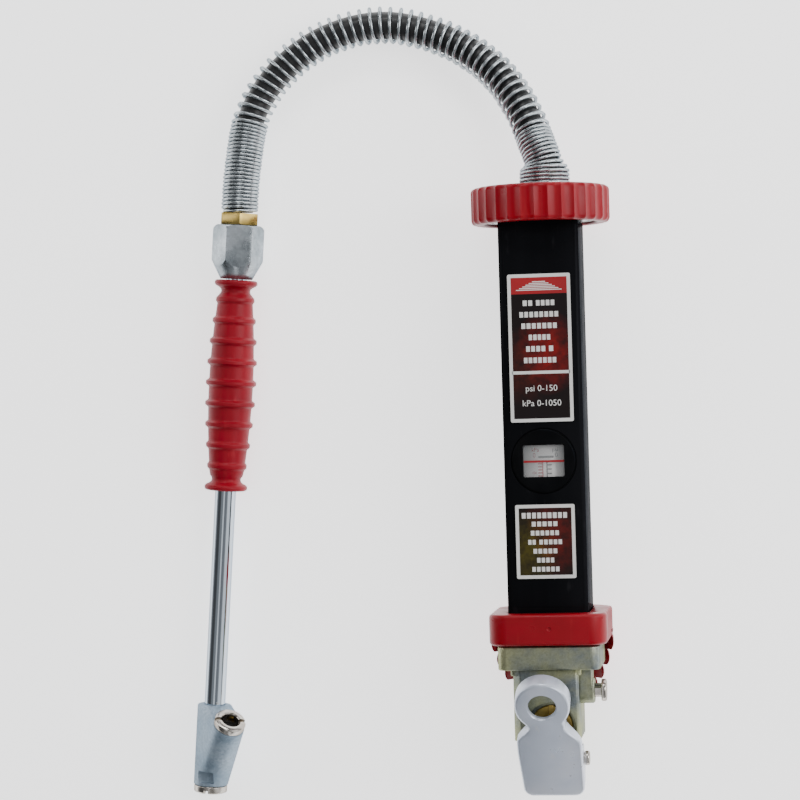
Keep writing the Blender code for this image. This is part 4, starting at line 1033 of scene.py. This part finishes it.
def make_drum(zero_y):
    """The white drum with its printed scales: zero at the sight, the rest comes as it slides."""
    low, high = box_mm("scale_drum")
    radius = (high.x - low.x) / 2
    profile = [(radius - 0.05, high.y), (radius, high.y - 0.1), (radius, low.y + 0.1),
               (radius - 0.05, low.y), (radius - 1.4, low.y), (radius - 1.4, high.y)]
    settle(lathe("drum_shell", profile, barrel_frame(), 96), "indicator", "scale_white",
           replaces=["scale_drum"])
    zero = zero_y + 1.0
    travel = joint("gauge_slide")["range_m"][1] / MM
    low_z, top, lift, line = 0.01, 0.06, 0.05, 0.3  # line is half a printed line's width
    reds, blacks = [], []
    for side, prints, full, step, units, spine_x, tick, number_x in (
        (-1, reds, 1050, 25, "kPa", -1.0, 2.2, -5.0), (1, blacks, 150, 5, "psi", 1.0, 2.2, 5.5)
    ):
        prints.append(text_piece("unit", units, 2.7, number_x - 0.6 * side, zero + 4.0, lift))
        prints.append(text_piece("number", "0", 3.0, number_x, zero + 1.4, lift))
        prints.append(block("spine", (spine_x - line, zero - travel, low_z),
                            (spine_x + line, zero - 1.4, top)))
        value = step
        while value <= full:
            y = zero - 1.0 - (travel - 1.0) * value / full
            ends = sorted((spine_x, spine_x + side * tick))
            prints.append(block("tick", (ends[0], y - line, low_z), (ends[1], y + line, top)))
            if value % (4 * step) == 0:
                prints.append(text_piece("number", str(value), 1.7, number_x, y, lift))
            value += step
    blacks.append(block("zero_line", (-3.1, zero + 0.2, low_z), (4.2, zero + 1.2, top)))
    for name, prints, material in (("drum_scale_red", reds, "print_red"),
                                   ("drum_scale_black", blacks, "print_black")):
        scale = wrapped(merge(name, prints), radius + 0.10)
        settle(scale, "indicator", "scale_white", material)


WORD_GAP = 1.1
LETTER_WIDTH = 2.3
BAR_SHARE = 0.74  # how much of a letter's place its bar fills


def text_bars(rows, centre_y, z, height, row_step):
    """Rows of short bars where the real label has lines of print."""
    bars = []
    for i, words in enumerate(rows):
        y = centre_y - row_step * (i - (len(rows) - 1) / 2)
        width = sum(words) + WORD_GAP * (len(words) - 1)
        x = -width / 2
        for word in words:
            letters = max(1, round(word / LETTER_WIDTH))
            pitch = word / letters
            for letter in range(letters):
                left = x + letter * pitch
                right = left + pitch * BAR_SHARE
                bars.append(block("bar", (left, y - height / 2, z),
                                  (right, y + height / 2, z + PRINT_THICKNESS)))
            x += word + WORD_GAP
    return bars


def make_labels():
    for node, material in (("upper_label", "label"), ("lower_label", "label_lower")):
        low, high = box_mm(node)
        outline = rounded_box(low.x, high.x, low.y, high.y, 0.8, 6)
        sections = [level(outline, low.z), level(outline, high.z - 0.08),
                    level(inset(outline, 0.08), high.z)]
        settle(loft(f"{node}_sheet", sections, WORLD), "inflator", "label", material,
               replaces=[node])
    low, high = box_mm("upper_label")
    z = high.z + 0.005
    prints = [label_border("border", low, high, z)]
    divider = low.y + (high.y - low.y) * 0.335
    prints.append(block("divider", (low.x + 1.2, divider - 0.7, z),
                        (high.x - 1.2, divider + 0.7, z + 0.03)))
    prints += text_bars([(5.0, 9.0), (18.4,), (16.9,), (10.4,), (9.4, 2.6), (15.4,)],
                        high.y - 26.5, z, 2.5, 5.25)
    middle_y = (low.y + 1.2 + divider) / 2
    for i, (units, digits) in enumerate((("psi", "0-150"), ("kPa", "0-1050"))):
        y = middle_y + 3.4 - 6.8 * i
        prints.append(text_piece("range", f"{units} {digits}", 4.0, 0, y, z + 0.015))
    settle(merge("upper_label_print", prints), "inflator", "label", "print_white")
    band = block("upper_label_band", (low.x + 1.3, high.y - 9.2, z - 0.02),
                 (high.x - 1.3, high.y - 1.6, z + 0.02))
    settle(band, "inflator", "label", "print_red")
    stripes = [block("stripe", (-10.5 + 1.5 * i, high.y - 7.6 + 0.75 * i, z + 0.02),
                     (10.5 - 1.5 * i, high.y - 7.2 + 0.75 * i, z + 0.04)) for i in range(6)]
    settle(merge("upper_label_stripes", stripes), "inflator", "label", "print_white")

    low, high = box_mm("lower_label")
    z = high.z + 0.005
    prints = [label_border("border", low, high, z)]
    prints += text_bars([(21.4,)], high.y - 5.0, z, 2.6, 5)
    prints += text_bars([(12.4,), (13.5,), (4.0, 11.0), (11.5,), (8.4,), (13.0,)],
                        (low.y + high.y) / 2 - 2.3, z, 2.2, 4.15)
    settle(merge("lower_label_print", prints), "inflator", "label", "print_white")


def label_border(name, low, high, z):
    """A white frame line round the label."""
    outer = rounded_box(low.x + 0.05, high.x - 0.05, low.y + 0.05, high.y - 0.05, 0.8, 6)
    inner = rounded_box(low.x + 1.6, high.x - 1.6, low.y + 1.6, high.y - 1.6, 0.2, 6)
    sections = [level(outer, z), level(inner, z), level(inner, z + 0.03), level(outer, z + 0.03)]
    return loft(name, sections, WORLD, closed=True)


# --- Bumpers and cap ---------------------------------------------------------------------------


def fluted(radius, depth, count, angle):
    phase = (angle * count / (2 * math.pi)) % 1.0
    return radius - depth * math.sin(math.pi * phase) ** 0.9


def make_top_bumper():
    low, high = box_mm("top_bumper")
    radius = (high.x - low.x) / 2
    flutes, samples = 32, 12
    count = flutes * samples
    port_x = (box_mm("hose_adaptor")[0].x + box_mm("hose_adaptor")[1].x) / 2

    def rim(less, depth, height):
        points = []
        for i in range(count):
            angle = 2 * math.pi * i / count
            reach = fluted(radius, depth, flutes, angle) - less
            points.append((reach * math.cos(angle), reach * math.sin(angle), height))
        return points

    def ring(inner, height, x=0.0):
        return [(px + x, py, height) for px, py in circle(inner, count)]

    edge = 2.2
    sections = [ring(26.1, 199.3), ring(26.1, low.y + 0.6), ring(26.7, low.y)]
    for i in range(6):
        angle = math.pi / 2 * i / 5
        sections.append(rim(edge * (1 - math.sin(angle)), 0.35 + 0.55 * math.sin(angle),
                            low.y + edge * (1 - math.cos(angle))))
    for i in range(5, -1, -1):
        angle = math.pi / 2 * i / 5
        sections.append(rim(edge * (1 - math.sin(angle)), 0.35 + 0.55 * math.sin(angle),
                            high.y - edge * (1 - math.cos(angle))))
    sections += [ring(13.0, high.y, port_x), ring(12.2, high.y - 0.6, port_x),
                 ring(12.2, 199.3, port_x)]
    bumper = loft("cap_bumper", sections, barrel_frame(), closed=True)
    settle(bumper, "inflator", "red_rubber", replaces=["top_bumper"], sharp=50)

    cap_low, cap_high = box_mm("top_cap")
    base, head = cap_low.y, cap_high.y
    profile = [(0, head), (25.0, head), (25.8, head - 0.8), (25.8, base + 1.9), (24.9, base + 1.7),
               (24.9, base + 1.2), (25.8, base + 1.0), (25.8, base + 0.3), (25.5, base),
               (23.4, base), (23.2, base + 0.4), (22.6, base + 0.4), (22.4, base), (0, base)]
    cap = lathe("end_cap", profile, barrel_frame(), 120)
    cutters = []
    stepped = [(0, 200), (3.1, 200), (3.1, 194.5), (1.8, 194.5), (1.8, 188), (0, 188)]
    for x, y in ROD_PLACES:
        cutters.append(lathe("rod_hole", stepped, barrel_frame(x, AXIS_Z - y), 32))
    port = [(0, 200), (6.8, 200), (6.8, 192.5), (0, 192.5)]
    cutters.append(lathe("port", port, barrel_frame(port_x), 48))
    cutters.append(block("channel", (-1.2, 14.85, 188.5), (1.2, 17.25, 195.0), barrel_frame()))
    cut(cap, *cutters)
    settle(cap, "inflator", "cap_metal", replaces=["top_cap"])


COLLAR_HALF = 27.2
COLLAR_REAR = 32.9
COLLAR_CORNER = 9.0
COLLAR_PAD_HALF = 6.6
SIDE_RIBS, REAR_RIBS = 4, 11
SKIRT_SHIFT = -1.0
# (half width, middle, half height) of each lobe that the rear skirt shows from the front
SKIRT_LOBES = ((28.8, -7.6, 4.4), (26.4, -15.5, 3.9), (23.4, -22.7, 3.5), (19.9, -28.6, 2.9))
LOBE_BULGE = 1.8


def collar_outline(less=0.0, depth=1.0):
    """The lower bumper in the barrel's frame: flat front, ribbed sides and back, flat pad."""
    half = front = COLLAR_HALF - less
    rear, corner = COLLAR_REAR - less, COLLAR_CORNER - less
    pad = AXIS_Z - less
    points = []
    start = math.acos(half / rear)
    side_low = rear * math.sin(start)
    span = side_low + (front - corner)

    def rib(share, most):
        return depth * most * math.sin(math.pi * (share % 1.0)) ** 0.9

    steps = 56
    for i in range(steps + 1):
        y = -(front - corner) + span * i / steps
        points.append((half - rib(i / steps * SIDE_RIBS, 0.8), y))
    arc_steps = 154
    for i in range(1, arc_steps):
        angle = start + (math.pi - 2 * start) * i / arc_steps
        reach = rear - rib(i / arc_steps * REAR_RIBS, 0.9)
        x, y = reach * math.cos(angle), reach * math.sin(angle)
        if abs(x) <= COLLAR_PAD_HALF:
            y = pad
        points.append((x, min(y, pad)))
    for i in range(steps, -1, -1):
        y = -(front - corner) + span * i / steps
        points.append((-half + rib(i / steps * SIDE_RIBS, 0.8), y))
    points += arc(-(half - corner), -(front - corner), corner, 180, 270, 16)[1:]
    points += arc(half - corner, -(front - corner), corner, 270, 360, 16)[:-1]
    return points


def square_reach(angle, half, corner):
    """How far a rounded square reaches in a direction."""
    x, y = abs(math.cos(angle)), abs(math.sin(angle))
    reach = half / max(x, y)
    edge = half - corner
    if reach * x > edge and reach * y > edge:
        b = edge * (x + y)
        reach = b + math.sqrt(max(0.0, b * b - 2 * edge * edge + corner * corner))
    return reach


def make_lower_bumper():
    bottom, top = -5.7, box_mm("lower_bumper")[1].y
    outline = collar_outline()
    hole = []
    for x, y in outline:
        angle = math.atan2(y, x)
        reach = square_reach(angle, HALF + 0.3, 2.3)
        hole.append((reach * math.cos(angle), reach * math.sin(angle)))
    sections = [level(hole, top - 0.4), level(hole, bottom + 0.4),
                level(inset(hole, -0.4), bottom)]
    edge = 1.7
    for rim, sign in ((bottom, 1), (top, -1)):
        for i in range(6)[::sign]:
            share = math.sin(math.pi / 2 * i / 5)
            rise = edge * (1 - math.cos(math.pi / 2 * i / 5))
            sections.append(level(collar_outline(edge * (1 - share), share), rim + sign * rise))
    sections.append(level(inset(hole, -0.4), top))
    bumper = loft("collar_bumper", sections, barrel_frame(), closed=True)
    skirt = lathe("skirt", [(32.3, -32.0), (32.3, -2.0), (29.8, -2.0), (29.8, -32.0)],
                  barrel_frame(), 192)
    side = [(28.2, 1.0), (28.6, -3.0)]
    for half, centre, reach in SKIRT_LOBES:
        for i in range(1, 10):
            angle = math.pi / 2 - math.pi * i / 10
            bulge = LOBE_BULGE * math.cos(angle)
            side.append((half - LOBE_BULGE + bulge, centre + reach * math.sin(angle)))
    side.append((12.0, -31.5))
    right = [(half + SKIRT_SHIFT, y) for half, y in side]
    left = [(SKIRT_SHIFT - half, y) for half, y in reversed(side)]
    trim(skirt, prism("tongue", right + left, -1, 21.5, WORLD))
    soften(skirt, 0.5, 2, 40)
    join(bumper, skirt)
    dimple = lathe("dimple", [(0, 61), (1.2, 61), (1.0, 59.6), (0.5, 59.3), (0, 59.25)],
                   facing_frame(1.0, 2.0), 24)
    cut(bumper, dimple)
    settle(bumper, "inflator", "red_rubber", replaces=["lower_bumper"], sharp=45)


# --- Valve body --------------------------------------------------------------------------------


FLANGE_HALF_X = 23.5
LUG_HALF_X = 10.4


def make_valve_body():
    place = barrel_frame()
    flange = loft(
        "valve_casting",
        rounded_sections(rounded_box(-FLANGE_HALF_X, FLANGE_HALF_X, AXIS_Z - 55.5, AXIS_Z - 13.5,
                                     4.5, 8), -17.3, -6.3, 0.8, 3),
        place,
    )
    front, rear = AXIS_Z - 50.5, AXIS_Z - 14.0
    trunk_outline = [(13.2, front + 1.2), (13.2, rear - 3), (10.2, rear), (-14.2, rear),
                     (-17.2, rear - 3), (-17.2, front + 3.4), (-13.8, front), (12.0, front)]
    trunk = prism("trunk", trunk_outline, -50.5, -17.0, place)
    soften(trunk, 0.5, 3, 25)
    step_outline = rounded_box(-18.2, 14.4, front + 0.6, rear, 2.0, 4)
    step = loft("step", rounded_sections(step_outline, -20.4, -17.0, 0.7, 3), place)
    neck = block("neck", (-LUG_HALF_X, HINGE.y, 18.0), (LUG_HALF_X, -49.5, HINGE.z + 4.8))
    knuckle = [(0, LUG_HALF_X), (4.4, LUG_HALF_X), (4.8, 10.0), (4.8, -10.0),
               (4.4, -LUG_HALF_X), (0, -LUG_HALF_X)]
    eye = lathe("eye", knuckle, PIN_FRAME, 64)
    inlet = middle("inlet_adaptor")
    boss = lathe("boss", [(0, -49.5), (9.5, -49.5), (9.5, -65.9), (8.9, -66.5), (0, -66.5)],
                 barrel_frame(0, inlet.z), 72)
    spigot = rod("spigot", 13.3, -3.0, -7.3, place, 72)
    button = middle("deflate_button")
    button_place = frame_along((1, 0, 0), (0, button.y, button.z), (0, 0, 1))
    side_boss = lathe("side_boss", [(0, 19.7), (5.3, 19.7), (6.0, 19.0), (6.0, 13.0), (0, 13.0)],
                      button_place, 64)
    pad = block("pad", (12.2, button.y, button.z - 6.0), (18.9, -16.8, button.z + 6.0))
    soften(pad, 0.7, 3)
    body = join(flange, trunk, step, neck, eye, boss, spigot, side_boss, pad)
    valve_y = middle("valve_plunger").y
    cutters = [
        lathe("chamber", [(0, 51.5), (12.0, 51.5), (11.6, 50.3), (11.6, 46.0), (7.9, 46.0),
                          (7.9, 33.0), (6.4, 33.0), (6.4, 13.0), (0, 13.0)],
              facing_frame(0, valve_y), 96),
        rod("inlet_thread", 7.3, -55.5, -67.5, barrel_frame(0, inlet.z), 48),
        rod("inlet_way", 3.4, -44, -56.5, barrel_frame(0, inlet.z), 24),
        rod("outlet_way", 2.1, -2, -44, barrel_frame(0, 37.2), 24),
        lathe("button_bore", [(0, 20.7), (3.9, 20.7), (3.6, 19.3), (3.6, 8.3), (2.2, 8.3),
                              (2.2, 2.0), (4.2, 2.0), (4.2, -7.5), (0, -7.5)], button_place, 48),
        rod("pin_hole", 2.8, 20, -20, PIN_FRAME, 48),
    ]
    for x, y in ROD_PLACES:
        cutters.append(rod("rod_hole", 1.8, -5, -15.5, barrel_frame(x, AXIS_Z - y), 24))
    cut(body, *cutters)
    settle(body, "inflator", "yellow_zinc", replaces=["valve_body"], sharp=30)


def make_inlet():
    place = barrel_frame(0, middle("inlet_adaptor").z)
    body = prism("inlet_fitting", circle(10.3, 6), -72.5, -66.8, place)
    profile = [(0, -66.75), (9.2, -66.75), (10.35, -67.4), (10.35, -71.8), (9.2, -72.55),
               (0, -72.55)]
    trim(body, lathe("chamfer", profile, place, 120))
    join(body, lathe("spigot", [(0, -58.5), (6.6, -58.5), (6.9, -58.8), (6.9, -67.5), (0, -67.5)],
                     place, 48))
    cut(body, lathe("port", [(0, -57.5), (5.6, -57.5), (5.6, -71.9), (6.2, -73.5), (0, -73.5)],
                    place, 48))
    soften(body, 0.15, 2, 25)
    settle(body, "inflator", "brass", replaces=["inlet_adaptor"])
    mesh_filter = [(6.8, -56.0), (6.8, -58.2), (1.2, -58.2), (1.2, -56.0)]
    settle(lathe("filter_disc", mesh_filter, place, 48), "inflator", "bronze",
           replaces=["inlet_filter"])


def make_valve():
    place = facing_frame(0, middle("valve_plunger").y)
    nut = [(9.7, 49.2), (10.0, 48.9), (10.0, 46.5), (9.8, 46.3), (7.5, 46.3), (7.5, 40.4),
           (3.0, 40.4), (3.0, 48.8), (3.4, 49.2)]
    gland = lathe("gland_cap", nut, place, 96)
    cut(gland, block("slot", (-1.2, -12, 48.2), (1.2, 12, 50), place))
    settle(gland, "inflator", "brass", replaces=["gland_nut"])
    plunger = [(0, 58.0), (0.95, 57.8), (1.7, 57.3), (2.2, 56.5), (2.4, 55.6), (2.4, 30.0),
               (5.2, 30.0), (5.2, 28.5), (2.0, 28.5), (2.0, 26.8), (0, 26.8)]
    settle(lathe("plunger_rod", plunger, place, 48), "plunger", "brass", replaces=["valve_plunger"])
    plug = [(0, 19.4), (5.5, 19.4), (6.0, 18.9), (6.0, 13.7), (8.3, 13.7), (8.7, 13.3), (8.7, 11.2),
            (8.3, 10.8), (0, 10.8)]
    plug = lathe("chamber_plug", plug, place, 72)
    cut(plug, block("slot", (-10, -0.9, 9.8), (10, 0.9, 12.0), place))
    settle(plug, "inflator", "brass", replaces=["valve_plug"])


def make_button():
    low, high = box_mm("deflate_button")
    centre = (low + high) / 2
    place = frame_along((1, 0, 0), (0, centre.y, centre.z), (0, 0, 1))
    top = high.x
    profile = [(0, top - 0.25), (2.6, top - 0.25), (3.0, top), (4.5, top), (4.9, top - 0.2),
               (5.1, top - 0.6), (5.1, 23.2), (4.8, 22.8), (3.2, 22.8), (3.2, 16.0), (1.6, 16.0),
               (1.6, -1.5), (3.4, -1.5), (3.4, -3.0), (0, -3.0)]
    knob = lathe("button_knob", profile, place, 64)
    settle(knob, "button", "nickel", replaces=["deflate_button"])


# --- Lever -------------------------------------------------------------------------------------


RING_X, RING_Y = -2.6, 33.4  # middle of the finger ring, in the lever's frame


def lever_outline(less=0.0):
    """The lever seen square on, anticlockwise: ring head, neck, shoulders and body."""
    head = arc(RING_X, RING_Y, 12.6, -44, 224, 60)
    neck_left = [(-10.5, 23.2), (-9.6, 21.9), (-9.9, 20.6), (-11.0, 19.2), (-13.4, 17.2),
                 (-14.9, 15.5), (-15.4, 13.6)]
    left = [(-15.4, 8.0), (-15.0, 2.0), (-14.5, -4.0), (-14.1, -9.0)]
    bottom = arc(-9.4, -11.7, 4.5, 180, 270, 10) + arc(9.8, -11.7, 4.5, 270, 360, 10)
    right = [(14.3, -4.0), (14.3, 6.0), (14.3, 12.0), (13.8, 14.2), (12.4, 15.9), (9.0, 19.0),
             (7.5, 20.5), (7.1, 21.6), (7.2, 23.0)]
    outline = head + neck_left + left + bottom + right
    return inset(outline, less) if less else outline


def make_lever():
    back, front = -4.3, 7.9
    outline = lever_outline()
    sections = [level(outline, back)]
    for less, rise in reversed(quarter_round(1.5, 4)):
        sections.append(level(inset(outline, less), front - rise))
    lever = loft("trigger_lever", sections, LEVER_FRAME)
    hollow = prism("hollow", lever_outline(2.3), back - 1, front - 2.4, LEVER_FRAME)
    head = LEVER_FRAME @ Matrix.Translation((RING_X, RING_Y, 0))
    eye = lathe("eye", [(0, front + 1), (7.6, front + 1), (6.75, front - 0.2), (6.4, front - 0.8),
                        (6.4, back), (0, back)], head, 72)
    far = back - 1
    side = [(-20, far), (50, far), (50, -0.6), (21.5, -0.6), (14.0, 3.6), (8.0, 3.6), (7.2, -1.0),
            (5.0, back), (-7.5, back), (-10.5, -0.6), (-20, -0.6)]
    across = LEVER_FRAME @ frame_along((1, 0, 0), (0, 0, 0), (0, 1, 0))
    relief = prism("relief", side, -22, 22, across)
    hole = rod("hole", 2.58, 22, -22, PIN_FRAME, 64)
    cut(lever, hollow, eye, relief, hole)
    settle(lever, "lever", "lever_zinc", replaces=["lever"], sharp=28)


def make_pin():
    profile = [(0, 16.7), (1.9, 16.75), (2.6, 16.95), (3.1, 16.7), (3.3, 16.3), (3.3, 15.2),
               (3.0, 14.7), (2.5, 14.7), (2.5, -10.9), (1.9, -10.9), (1.9, -11.9), (2.5, -11.9),
               (2.5, -14.0), (2.2, -14.3), (0, -14.3)]
    settle(lathe("hinge_pin", profile, PIN_FRAME, 64), "inflator", "nickel", replaces=["lever_pin"])


# --- Build -------------------------------------------------------------------------------------


def dress_remaining_nodes():
    """The CAD nodes that stay, mostly inside the object, get their slot's material."""
    slots = {part["node"]: part["material_slot"] for part in frame["record"]["subparts"]}
    for node, obj in frame["nodes"].items():
        if obj.hide_render:
            continue
        obj.data.materials.clear()
        obj.data.materials.append(MATERIALS[slots[node]])
        obj.data.shade_smooth()
        obj.data.set_sharp_from_angle(angle=math.radians(40))


make_camera()
make_hose()
make_surroundings()
make_nut()
make_tube()
make_grip()
make_chuck()
make_barrel()
make_drum(make_sight())
make_labels()
make_top_bumper()
make_lower_bumper()
make_valve_body()
make_inlet()
make_valve()
make_button()
make_lever()
make_pin()
dress_remaining_nodes()
